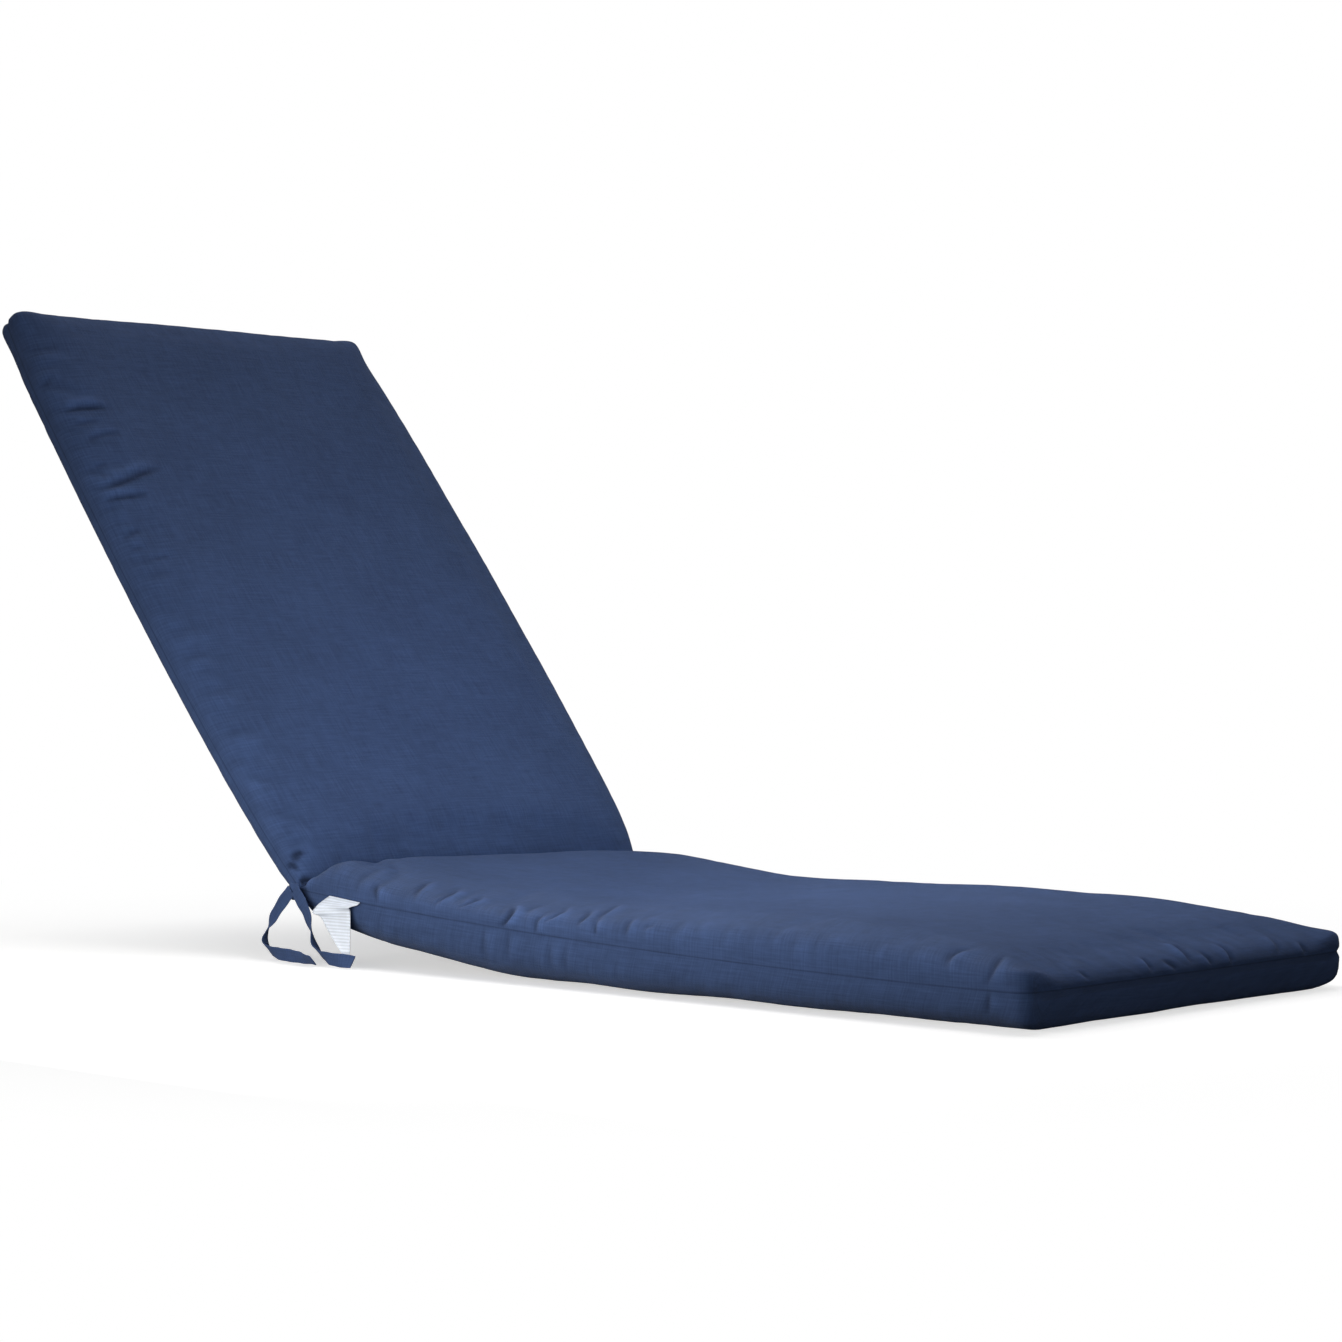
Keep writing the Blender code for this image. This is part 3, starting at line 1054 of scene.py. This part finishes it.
    def blow_up(self) -> tuple[np.ndarray, np.ndarray, dict[Face, np.ndarray]]:
        """Fill a coarse, slightly slack cover as cloth under pressure, its seam and channel held.

        Returns:
            The coarse stations and shares, and each panel's movement from the full form, capped.
        """
        stations, shares = self.stations(COARSE), self.shares(COARSE)
        full = {face: self.form.surface(stations, shares, face) for face in Face}
        middle = (full[Face.UPPER] + full[Face.LOWER]) / 2
        slack = {face: middle + self.blow_shrink * (full[face] - middle) for face in Face}
        every = np.ones((len(stations), len(shares)), dtype=bool)
        points, faces, upper_ids, lower_ids = self.weld(slack[Face.UPPER], slack[Face.LOWER], every, every)
        bag = new_piece("slack_cover", points, faces, bpy.data.materials.new("plain"))
        rows, columns = lower_ids.shape
        held = np.zeros((rows, columns), dtype=bool)
        held[[0, -1], :] = True
        held[:, [0, -1]] = True
        held[np.argmin(np.abs(stations)), :] = True
        group = bag.vertex_groups.new(name="held")
        group.add(np.unique(np.concatenate((upper_ids[held], lower_ids[held]))).tolist(), 1.0, "REPLACE")
        cloth = bag.modifiers.new("Filling", "CLOTH")
        settings = cloth.settings
        settings.quality = 6
        settings.mass = 0.25
        settings.tension_stiffness = 18.0
        settings.compression_stiffness = 18.0
        settings.shear_stiffness = 8.0
        settings.bending_stiffness = 0.6
        settings.shrink_min = -0.012
        settings.use_pressure = True
        settings.uniform_pressure_force = self.blow_pressure
        settings.vertex_group_mass = "held"
        settings.effector_weights.gravity = 0.0
        cloth.collision_settings.use_collision = False
        scene = bpy.context.scene
        for number in range(1, self.blow_frames + 1):
            scene.frame_set(number)
        filled = bag.evaluated_get(bpy.context.evaluated_depsgraph_get())
        moved = np.empty(len(filled.data.vertices) * 3)
        filled.data.vertices.foreach_get("co", moved)
        moved = moved.reshape(-1, 3)
        scene.frame_set(1)
        bpy.data.objects.remove(bag)
        fields = {}
        for face, ids in ((Face.UPPER, upper_ids), (Face.LOWER, lower_ids)):
            shift = moved[ids] - full[face]
            size = np.linalg.norm(shift, axis=2, keepdims=True)
            log.info("%s panel moved by up to %.4f m, mean %.4f m", face.name, size.max(), size.mean())
            fields[face] = shift * (self.blow_cap * np.tanh(size / self.blow_cap) / np.maximum(size, 1e-9))
        return stations, shares, fields

    @staticmethod
    def sampler(coarse: np.ndarray, fine: np.ndarray) -> np.ndarray:
        """Weights that read a coarse row of values at finer places along a smooth cubic.

        Each stretch is a Hermite cubic. The slope at a coarse place is the mean of the slopes on
        its two sides, each weighed by the other side's length.

        Args:
            coarse: Coarse places, in rising order.
            fine: Fine places.

        Returns:
            Weights, shape (fine, coarse).
        """
        count = len(coarse)
        steps = np.diff(coarse)
        unit = np.eye(count)
        slopes = (unit[1:] - unit[:-1]) / steps[:, None]
        before, after = steps[:-1, None], steps[1:, None]
        inner = (slopes[:-1] * after + slopes[1:] * before) / (before + after)
        tangents = np.concatenate((slopes[:1], inner, slopes[-1:]))
        low = np.clip(np.searchsorted(coarse, fine, side="right") - 1, 0, count - 2)
        t = np.clip((fine - coarse[low]) / steps[low], 0.0, 1.0)[:, None]
        step = steps[low][:, None]
        rising = t * t * (3.0 - 2.0 * t)
        return (
            (1.0 - rising) * unit[low] + rising * unit[low + 1]
            + step * t * (1.0 - t) ** 2 * tangents[low] - step * t * t * (1.0 - t) * tangents[low + 1])

    @staticmethod
    def seam_coordinates(points: np.ndarray, stations: np.ndarray) -> SeamPlaces:
        """Every point's place beside each stretch of seam, measured on the cloth.

        Args:
            points: The panel's grid.
            stations: The grid's distances along the cushion.

        Returns:
            For each stretch of seam, places along it and distances from it.
        """
        from_near = running_length(points, axis=1)
        from_far = from_near[:, -1:] - from_near
        from_head = running_length(points)
        from_foot = from_head[-1:] - from_head
        channel = int(np.argmin(np.abs(stations)))
        along = from_head - from_head[channel:channel + 1]
        middle = (from_near - from_far) / 2
        return {
            Seam.NEAR: (along, from_near),
            Seam.FAR: (along, from_far),
            Seam.FOOT: (middle, from_foot),
            Seam.HEAD: (middle, from_head),
        }

    @staticmethod
    def seam_gap(places: SeamPlaces) -> np.ndarray:
        """Each point's distance from the nearest stretch of seam."""
        return np.minimum.reduce([away for _, away in places.values()])

    def near_corner(self, places: SeamPlaces) -> np.ndarray:
        """Share of the corner's pinch, a bell of the distance from the nearest corner.

        Args:
            places: Each point's places beside the stretches of seam.

        Returns:
            The share, 1 in a corner.
        """
        side = np.minimum(places[Seam.NEAR][1], places[Seam.FAR][1])
        end = np.minimum(places[Seam.FOOT][1], places[Seam.HEAD][1])
        return bell(np.hypot(side, end), self.corner_reach)

    def common_puckers(self, seam: Seam, face: Face, rng: np.random.Generator) -> list[Pucker]:
        """Slight puckers at uneven steps along a seam, as its stitches draw the cloth in.

        Args:
            seam: The stretch of seam.
            face: The panel.
            rng: Seeded random numbers.

        Returns:
            The puckers, in order along the seam.
        """
        half = self.form.width / 2
        place, stop = -half + self.end_margin, half - self.end_margin
        if seam in (Seam.NEAR, Seam.FAR):
            place = -self.form.back_length + self.side_margin
            stop = self.form.seat_length - self.side_margin
        puckers = []
        while place < stop:
            lean, bend = rng.uniform(*self.slight_lean), rng.uniform(*self.slight_bend)
            begin, length = rng.uniform(*self.slight_start), rng.uniform(*self.slight_length)
            depth = rng.uniform(*self.slight_depth) * COMMON_DEPTH[seam, face]
            middle = (place + lean / 2 + bend, begin + length / 2)
            end = (place + lean, begin + length)
            width = rng.uniform(*self.slight_width)
            puckers.append(Pucker((place, begin), middle, end, depth, width, COMMON_RIDGE))
            place += rng.uniform(*self.slight_spacing)
        return puckers

    def puckers(self, face: Face) -> list[tuple[Seam, Pucker]]:
        """All puckers of a panel: those that the photograph shows and the slight ones between.

        Args:
            face: The panel.

        Returns:
            Pairs of a stretch of seam and a pucker beside it.
        """
        rng = np.random.default_rng(self.seed + face.value)
        pairs = [(seam, pucker) for seam in Seam for pucker in self.common_puckers(seam, face, rng)]
        for seam, panel, shown in SHOWN_PUCKERS:
            if panel is face:
                pairs += [(seam, pucker) for pucker in shown]
        return pairs

    def unevenness(self, along: np.ndarray, across: np.ndarray) -> np.ndarray:
        """Soft lumps of the filling: long waves of several directions and lengths.

        Their sum is divided by the root of their number.

        Args:
            along: Places along the cushion.
            across: Places across it.

        Returns:
            Heights in metres.
        """
        rng = np.random.default_rng(self.seed)
        total = np.zeros(np.broadcast(along, across).shape)
        for _ in range(self.uneven_waves):
            angle, length = rng.uniform(0.0, pi), rng.uniform(*self.uneven_lengths)
            phase = rng.uniform(0.0, 2 * pi)
            total += np.sin((along * cos(angle) + across * sin(angle)) * 2 * pi / length + phase)
        return self.uneven * total / self.uneven_waves ** 0.5

    def dress(self, points: np.ndarray, stations: np.ndarray, face: Face) -> tuple[np.ndarray, np.ndarray]:
        """Work out the puckers, the filling's lumps and the sewn seam of a panel.

        The seam is a groove bell with a low ridge beside it, for the folded cloth inside.

        Args:
            points: The panel's grid.
            stations: The grid's distances along the cushion.
            face: The panel.

        Returns:
            Heights to add along the normals, and flat coordinates with the distances from the seam,
            from the channel, and the creases' painted shade in grooves and painted highlight on ridges.
        """
        places = self.seam_coordinates(points, stations)
        gap = self.seam_gap(places)
        guard = 1.0 - bell(gap, self.edge_guard)
        along, from_near = places[Seam.NEAR]
        inward = smooth_step(0.0, self.uneven_reach, np.minimum(gap, np.abs(along)))
        height = self.unevenness(along, from_near * face.value) * inward
        folds = np.zeros(points.shape[:2])
        for seam, pucker in self.puckers(face):
            folds += pucker.height(*places[seam])
        folds *= guard
        height = height * guard + folds
        groove = self.seam_groove_width
        height -= self.seam_groove * bell(gap, groove)
        height -= self.corner_pinch * bell(gap, self.corner_pinch_width) * self.near_corner(places)
        from_ridge = gap - self.seam_ridge_place * groove
        height += self.seam_ridge * bell(from_ridge, self.seam_ridge_width * groove)
        # The folds' heights as shares from -1 to 1, which paint shade into grooves and highlight onto
        # ridges
        painted_fold_light = np.clip(folds / self.painted_light_full_depth, -1.0, 1.0)
        flat = np.stack((along, from_near * face.value, gap, np.abs(along), painted_fold_light), axis=2)
        return height, flat

    def swell(self, panels: dict[Face, np.ndarray], stations: np.ndarray, shares: np.ndarray) -> None:
        """Add the blown-up cloth's movement to the fine panels, fading out towards the seam.

        Args:
            panels: The fine panels, which are changed.
            stations: The fine grid's distances along the cushion.
            shares: The fine grid's shares of the half width.
        """
        coarse_stations, coarse_shares, fields = self.blow_up()
        rows = self.sampler(coarse_stations, stations)
        columns = self.sampler(coarse_shares, shares)
        for face in Face:
            shift = np.einsum("ia,abk,jb->ijk", rows, fields[face], columns, optimize=True)
            gap = self.seam_gap(self.seam_coordinates(panels[face], stations))
            share = 1.0 if face is Face.UPPER else self.blow_under
            faded = smooth_step(0.0, self.blow_fade, gap)[..., None]
            panels[face] = panels[face] + share * shift * faded

    def build(self) -> bpy.types.Object:
        """Make the finished cover and put it in its solid's place.

        On the rim both panels move along the mean of their normals, so that they stay joined.

        Returns:
            The piece.
        """
        stations, shares = self.stations(FINE), self.shares(FINE)
        panels = {face: self.form.surface(stations, shares, face) for face in Face}
        self.swell(panels, stations, shares)
        heights, flats, directions = {}, {}, {}
        for face in Face:
            directions[face] = self.normals(panels[face], face)
            heights[face], flats[face] = self.dress(panels[face], stations, face)
        rim = directions[Face.UPPER] + directions[Face.LOWER]
        rim = rim / np.maximum(np.linalg.norm(rim, axis=2, keepdims=True), 1e-9)
        whole = slice(None)
        for face in Face:
            places = self.seam_coordinates(panels[face], stations)
            pinch = self.corner_pinch * self.near_corner(places)
            for edge in ((0, whole), (-1, whole), (whole, 0), (whole, -1)):
                directions[face][edge] = rim[edge]
                heights[face][edge] = -(self.seam_groove + pinch[edge])
            panels[face] = panels[face] + directions[face] * heights[face][..., None]
            panels[face][..., 2] = np.maximum(panels[face][..., 2], 0.0)
        used = self.used_vertices(stations, len(shares))
        points, faces, _, _ = self.weld(panels[Face.UPPER], panels[Face.LOWER], *used)
        flat, _, _, _ = self.weld(flats[Face.UPPER], flats[Face.LOWER], *used)
        piece = new_piece("cushion_cover", points, faces, self.cloth.material(with_seam=True))
        set_flat_pattern(piece, flat[:, :2])
        for column, name in enumerate(("seam_gap", "channel_gap", "painted_fold_light"), start=2):
            set_attribute(piece, name, flat[:, column])
        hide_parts("cushion")
        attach(piece, ROOT_BODY)
        return piece


# Routes of the tie's free ends from the channel's near corner.
# Columns: x, y, z, and the tape's turn in degrees (0 faces the side, 90 lies flat).
LEFT_TIE_ROUTE = (
    (-0.0060, -0.2748, 0.0740, 0),
    (-0.0185, -0.2758, 0.0610, 2),
    (-0.0312, -0.2779, 0.0435, 14),
    (-0.0375, -0.2800, 0.0300, 50),
    (-0.0370, -0.2835, 0.0195, 66),
    (-0.0281, -0.2885, 0.0120, 52),
    (-0.0130, -0.2945, 0.0088, 28),
    (0.0040, -0.2990, 0.0080, 14),
    (0.0220, -0.3020, 0.0079, 12),
    (0.0400, -0.3050, 0.0076, 22),
    (0.0560, -0.3080, 0.0069, 38),
    (0.0660, -0.3100, 0.0063, 46),
)
RIGHT_TIE_ROUTE = (
    (0.0020, -0.2768, 0.0750, 0),
    (0.0130, -0.2782, 0.0640, 0),
    (0.0235, -0.2800, 0.0530, 6),
    (0.0330, -0.2825, 0.0375, 30),
    (0.0415, -0.2860, 0.0250, 62),
    (0.0510, -0.2905, 0.0165, 64),
    (0.0640, -0.2955, 0.0110, 42),
    (0.0790, -0.2995, 0.0086, 18),
    (0.0940, -0.3015, 0.0080, 4),
    (0.1070, -0.3010, 0.0078, -18),
    (0.1160, -0.2995, 0.0074, -40),
)


def smooth_route(route: Sequence[Sequence[float]], step: float) -> np.ndarray:
    """Even points along a smooth cubic through a route's rows, with all its columns.

    Args:
        route: Rows whose first three columns are a place, in metres.
        step: Distance between points.

    Returns:
        The points, one row each.
    """
    rows = np.array(route, dtype=float)
    ahead = np.vstack((rows[1:2] - rows[0:1], rows[2:] - rows[:-2], rows[-1:] - rows[-2:-1])) / 2
    spans = []
    for start, end, leave, arrive in zip(rows[:-1], rows[1:], ahead[:-1], ahead[1:]):
        count = max(2, round(float(np.linalg.norm(end[:3] - start[:3])) / step))
        t = np.linspace(0.0, 1.0, count, endpoint=False)[:, None]
        spans.append(
            start * (2 * t ** 3 - 3 * t ** 2 + 1) + leave * (t ** 3 - 2 * t ** 2 + t)
            + end * (3 * t ** 2 - 2 * t ** 3) + arrive * (t ** 3 - t ** 2))
    return np.vstack(spans + [rows[-1:]])


@dataclass
class TieEnd:
    """One free end of the tie: flat folded tape, whose stitching near both edges is not drawn."""

    name: str
    node: str
    route: Sequence[Sequence[float]]
    cloth: WovenCloth
    width: float = 0.0145
    thickness: float = 0.0015
    ripple: float = 0.0004
    ripple_length: float = 0.023
    edge_power: float = 0.45
    face_power: float = 0.7
    step: float = 0.0015
    profile_points: int = 20

    def build(self) -> bpy.types.Object:
        """Carry the tape's rounded section along its route.

        The section is a superellipse, flat on its faces and round at its folded edges, and it
        ripples a little along the length as soft tape does.

        Returns:
            The piece.
        """
        rows = smooth_route(self.route, self.step)
        middle = rows[:, :3] + np.array((CHANNEL_X, 0.0, 0.0))
        tangent = np.gradient(middle, axis=0)
        tangent /= np.linalg.norm(tangent, axis=1, keepdims=True)
        across = np.cross(tangent, np.array((0.0, -1.0, 0.0)))
        across /= np.linalg.norm(across, axis=1, keepdims=True)
        upright = np.cross(tangent, across)
        turn = np.radians(rows[:, 3:4])
        wide = across * np.cos(turn) + upright * np.sin(turn)
        thin = np.cross(tangent, wide)
        length = running_length(middle)
        angle = np.linspace(0.0, 2 * pi, self.profile_points, endpoint=False)
        side = signed_power(np.cos(angle), self.edge_power) * self.width / 2
        face = signed_power(np.sin(angle), self.face_power) * self.thickness / 2
        wave = self.ripple * np.sin(length * 2 * pi / self.ripple_length)[:, None]
        wave = wave * np.sin(side * pi / self.width)[None, :]
        points = (
            middle[:, None, :] + wide[:, None, :] * side[None, :, None]
            + thin[:, None, :] * (face[None, :] + wave)[..., None])
        faces = tube_faces(len(rows), self.profile_points)
        piece = new_piece(self.name, points.reshape(-1, 3), faces, self.cloth.material())
        flat = np.stack(np.broadcast_arrays(length[:, None], side[None, :]), axis=2)
        set_flat_pattern(piece, flat.reshape(-1, 2))
        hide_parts(self.node)
        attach(piece, ROOT_BODY)
        return piece


@dataclass
class TieRoot:
    """The tape's doubled middle, folded over and caught in the side seam.

    Shares are of the root's own box, and powers are those of its rounded section and ends.
    """

    cloth: WovenCloth
    rows: int = 24
    around: int = 28
    pinch: float = 0.22
    end_power: int = 6
    end_least: float = 0.02
    end_narrowing: float = 0.3
    side_power: float = 0.4
    face_power: float = 0.6
    face_share: float = 0.8
    fold_share: float = 0.25
    fold_weight: float = 0.6
    fold_turn: float = 6.0
    wave: float = 0.0008
    wave_turn: float = 9.0

    def build(self) -> bpy.types.Object:
        """Carry a rounded, slightly pinched section down the folded tape.

        The faces follow a sine across the tape for its folds, and its lower end waves as a sine.

        Returns:
            The piece.
        """
        low, high = (np.array(corner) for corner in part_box("tie_root"))
        centre, half = (low + high) / 2, (high - low) / 2
        down = np.linspace(-1.0, 1.0, self.rows)[:, None]
        angle = np.linspace(0.0, 2 * pi, self.around, endpoint=False)[None, :]
        pinch = 1.0 - self.pinch * (1.0 + down) / 2
        close = np.sqrt(np.clip(1.0 - np.abs(down) ** self.end_power, self.end_least, 1.0))
        x = half[0] * pinch * close ** self.end_narrowing * signed_power(np.cos(angle), self.side_power)
        fold = self.fold_share * np.sin(self.fold_turn * x / half[0]) * half[1]
        face = half[1] * close * signed_power(np.sin(angle), self.face_power)
        y = face * self.face_share + self.fold_weight * fold
        wave = self.wave * np.sin(self.wave_turn * x / half[0]) * (down < 0)
        z = half[2] * down * (1.0 + 0.0 * angle) + wave
        points = np.stack(np.broadcast_arrays(x, y, z), axis=2) + centre
        faces = tube_faces(self.rows, self.around)
        piece = new_piece("tie_fold", points.reshape(-1, 3), faces, self.cloth.material())
        set_flat_pattern(piece, (points - centre)[..., [0, 2]].reshape(-1, 2))
        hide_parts("tie_root")
        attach(piece, ROOT_BODY)
        return piece


# Edges of the label, row by row from the seam: x, y, z of its left and of its right edge
LABEL_EDGES = (
    ((0.0546, -0.2748, 0.0718), (0.1030, -0.2775, 0.0677)),
    ((0.0488, -0.2795, 0.0664), (0.1020, -0.2800, 0.0652)),
    ((0.0440, -0.2850, 0.0602), (0.0965, -0.2825, 0.0634)),
    ((0.0420, -0.2880, 0.0535), (0.0930, -0.2840, 0.0615)),
    ((0.0500, -0.2845, 0.0500), (0.0915, -0.2805, 0.0585)),
    ((0.0600, -0.2840, 0.0380), (0.0915, -0.2800, 0.0460)),
    ((0.0720, -0.2840, 0.0240), (0.0915, -0.2800, 0.0300)),
    ((0.0850, -0.2842, 0.0110), (0.0915, -0.2802, 0.0140)),
    ((0.0895, -0.2845, 0.0035), (0.0915, -0.2805, 0.0030)),
)


@dataclass
class CareLabel:
    """A small bare label of white satin, sewn in at the seam."""

    satin: Satin
    thickness: float = 0.0006
    step: float = 0.001
    rows: int = 60
    columns: int = 24

    def build(self) -> bpy.types.Object:
        """A sheet between its left and right edges, then thickened.

        Returns:
            The piece.
        """
        edges = [smooth_route([row[side] for row in LABEL_EDGES], self.step) for side in (0, 1)]
        t = np.linspace(0.0, 1.0, self.rows)
        left, right = (
            np.stack([np.interp(t, np.linspace(0, 1, len(edge)), edge[:, k]) for k in range(3)], axis=1)
            for edge in edges)
        share = np.linspace(0.0, 1.0, self.columns)[None, :, None]
        points = left[:, None, :] * (1.0 - share) + right[:, None, :] * share
        points = points + np.array((CHANNEL_X, 0.0, 0.0))
        ids = np.arange(self.rows * self.columns).reshape(self.rows, self.columns)
        faces = joined(ids[:-1, :-1], ids[1:, :-1], ids[1:, 1:], ids[:-1, 1:])
        piece = new_piece("satin_label", points.reshape(-1, 3), faces, self.satin.material())
        down = running_length(points[:, -1])
        wide = np.linalg.norm(points - points[:, -1:], axis=2)
        flat = np.stack((wide, np.broadcast_to(down[:, None], wide.shape)), axis=2)
        set_flat_pattern(piece, flat.reshape(-1, 2))
        solid = piece.modifiers.new("Thickness", "SOLIDIFY")
        solid.thickness = self.thickness
        solid.offset = 0.0
        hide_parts("care_label")
        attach(piece, ROOT_BODY)
        return piece


@dataclass(frozen=True)
class Lamp:
    """A soft lamp: place, the point that it faces, its two sides, watts and colour."""

    place: tuple[float, float, float]
    target: tuple[float, float, float]
    size: tuple[float, float]
    power: float
    colour: tuple[float, float, float]


# Most light comes from above and from low on the near side, and little from the foot's side
LAMPS = (
    Lamp((-1.70, 0.00, 2.97), (-0.1, 0.0, 0.2), (1.8, 1.8), 34.0, (1.0, 0.99, 0.97)),
    Lamp((2.61, -1.57, 0.87), (-0.1, 0.0, 0.2), (1.8, 1.8), 15.5, (0.96, 0.99, 1.0)),
    Lamp((-0.10, 2.26, 2.46), (-0.1, 0.0, 0.2), (1.8, 1.8), 23.0, (1.0, 1.0, 1.0)),
    Lamp((0.30, -0.05, 0.60), (-0.2, 0.0, 0.2), (0.5, 0.5), 2.1, (1.0, 1.0, 1.0)),
    Lamp((0.66, 0.00, 0.90), (0.66, 0.0, 0.0), (0.5, 0.5), 2.9, (1.0, 0.99, 0.99)),
    Lamp((-0.10, -1.00, 0.12), (-0.1, 0.0, 0.1), (1.2, 0.2), 5.8, (1.0, 0.97, 0.92)),
    Lamp((0.35, -0.90, 0.06), (0.35, 0.0, 0.1), (1.2, 0.2), 2.2, (1.0, 0.90, 0.78)),
    Lamp((-2.60, 1.20, 0.60), (-0.4, 0.0, 0.3), (1.4, 1.4), 22.0, (0.95, 0.98, 1.0)),
)


@dataclass
class Studio:
    """Pale floor, soft lights and the camera at the photograph's viewing angle."""

    camera_place: tuple[float, float, float] = (2.6693, -2.7318, 0.3638)
    yaw: float = radians(41.0078)
    pitch: float = radians(-0.8134)
    roll: float = radians(0.3716)
    focal_pixels: float = 3362.05
    image_pixels: float = 1342.0
    sensor: float = 36.0
    clip: tuple[float, float] = (0.05, 100.0)
    surround: tuple[float, float, float, float] = (0.015, 0.016, 0.018, 1.0)
    floor_radii: tuple[float, ...] = (
        0.4, 0.5, 0.6, 0.7, 0.8, 0.9, 1.0, 1.1, 1.2, 1.3, 1.5, 2.0, 4.0, 14.0)
    floor_sides: int = 96
    floor_drop: float = 0.0005
    floor_colour: tuple[float, float, float] = (0.80, 0.80, 0.80)
    floor_roughness: float = 0.9
    floor_glow_start: float = 0.40
    floor_glow_end: float = 1.30
    floor_lift: float = 0.50

    def camera(self) -> bpy.types.Object:
        """Place the camera: axes from yaw and pitch, then rolled about its line of sight.

        Returns:
            The camera.
        """
        ahead = Vector((-sin(self.yaw) * cos(self.pitch), cos(self.yaw) * cos(self.pitch), sin(self.pitch)))
        level = Vector((cos(self.yaw), sin(self.yaw), 0.0))
        above = level.cross(ahead)
        right = level * cos(self.roll) + above * sin(self.roll)
        up = above * cos(self.roll) - level * sin(self.roll)
        data = bpy.data.cameras.new("camera")
        data.sensor_width = self.sensor
        data.lens = self.sensor * self.focal_pixels / self.image_pixels
        data.clip_start, data.clip_end = self.clip
        camera = bpy.data.objects.new("camera", data)
        turn = Matrix((right, up, -ahead)).transposed()
        place = Vector(self.camera_place) + Vector((CHANNEL_X, 0.0, 0.0))
        camera.matrix_world = Matrix.Translation(place) @ turn.to_4x4()
        bpy.context.scene.collection.objects.link(camera)
        bpy.context.scene.camera = camera
        return camera

    def hang(self, number: int, lamp: Lamp) -> None:
        """Add one soft light that faces its target and stays out of the picture.

        Args:
            number: The lamp's number, for its name.
            lamp: Its place, size, power and colour.
        """
        data = bpy.data.lights.new(f"lamp_{number}", "AREA")
        data.shape = "RECTANGLE"
        data.size, data.size_y = lamp.size
        data.energy = lamp.power
        data.color = lamp.colour
        hung = bpy.data.objects.new(data.name, data)
        hung.location = lamp.place
        hung.rotation_euler = (Vector(lamp.target) - Vector(lamp.place)).to_track_quat("-Z", "Y").to_euler()
        hung.visible_camera = False
        bpy.context.scene.collection.objects.link(hung)

    def floor(self) -> None:
        """A wide pale floor of rings.

        Each ring holds its share of glow, which eases from 0 near the cushion to 1 further off,
        so that the floor melts into the white surround.
        """
        radii = np.array(self.floor_radii)
        angle = np.linspace(0.0, 2 * pi, self.floor_sides, endpoint=False)
        glow = np.repeat(smooth_step(self.floor_glow_start, self.floor_glow_end, radii), len(angle))
        ring = np.stack((np.cos(angle), np.sin(angle), 0.0 * angle), axis=1)
        points = (radii[:, None, None] * ring[None]).reshape(-1, 3)
        points = points - np.array((0.0, 0.0, self.floor_drop))
        ids = np.arange(len(points)).reshape(len(radii), -1)
        following = np.roll(ids, -1, axis=1)
        faces = joined(ids[:-1], ids[1:], following[1:], following[:-1])
        tree = ShaderTree("pale_floor")
        share = tree.attribute("glow")
        emitted = share * (1.0 - self.floor_lift) + self.floor_lift
        paper = tree.finish({
            "Base Color": tree.shade(self.floor_colour, 1.0 - share),
            "Emission Color": tree.shade((1.0, 1.0, 1.0), emitted),
            "Emission Strength": 1.0,
            "Roughness": self.floor_roughness,
            "Specular IOR Level": 0.0,
        })
        floor = new_piece("floor", points, [ids[0].tolist()] + faces, paper)
        set_attribute(floor, "glow", glow)
        floor.visible_diffuse = False
        floor.visible_glossy = False

    def light(self) -> None:
        """A white surround for the eye, a dark one for the cloth, and the soft lamps."""
        world = bpy.data.worlds.new("studio")
        world.use_nodes = True
        nodes, links = world.node_tree.nodes, world.node_tree.links
        back = nodes["Background"]
        path = nodes.new("ShaderNodeLightPath")
        mix = nodes.new("ShaderNodeMix")
        mix.data_type = "RGBA"
        mix.inputs["A"].default_value = self.surround
        mix.inputs["B"].default_value = (1.0, 1.0, 1.0, 1.0)
        links.new(path.outputs["Is Camera Ray"], mix.inputs["Factor"])
        links.new(mix.outputs["Result"], back.inputs["Color"])
        bpy.context.scene.world = world
        for number, lamp in enumerate(LAMPS):
            self.hang(number, lamp)
        bpy.context.scene.view_settings.view_transform = "Standard"


def main() -> None:
    """Place the camera, build the tie's pieces, the label and the cover and report each, then the floor and
    lights.
    """
    logging.basicConfig(level=logging.INFO, format="%(name)s %(message)s")
    studio = Studio()
    studio.camera()
    cloth = WovenCloth()
    report(TieEnd("tie_end_left", "tie_left", LEFT_TIE_ROUTE, cloth).build())
    report(TieEnd("tie_end_right", "tie_right", RIGHT_TIE_ROUTE, cloth).build())
    report(TieRoot(cloth).build())
    report(CareLabel(Satin()).build())
    report(CushionCover(CoverForm(), cloth).build())
    studio.floor()
    studio.light()


if __name__ == "__main__":
    main()
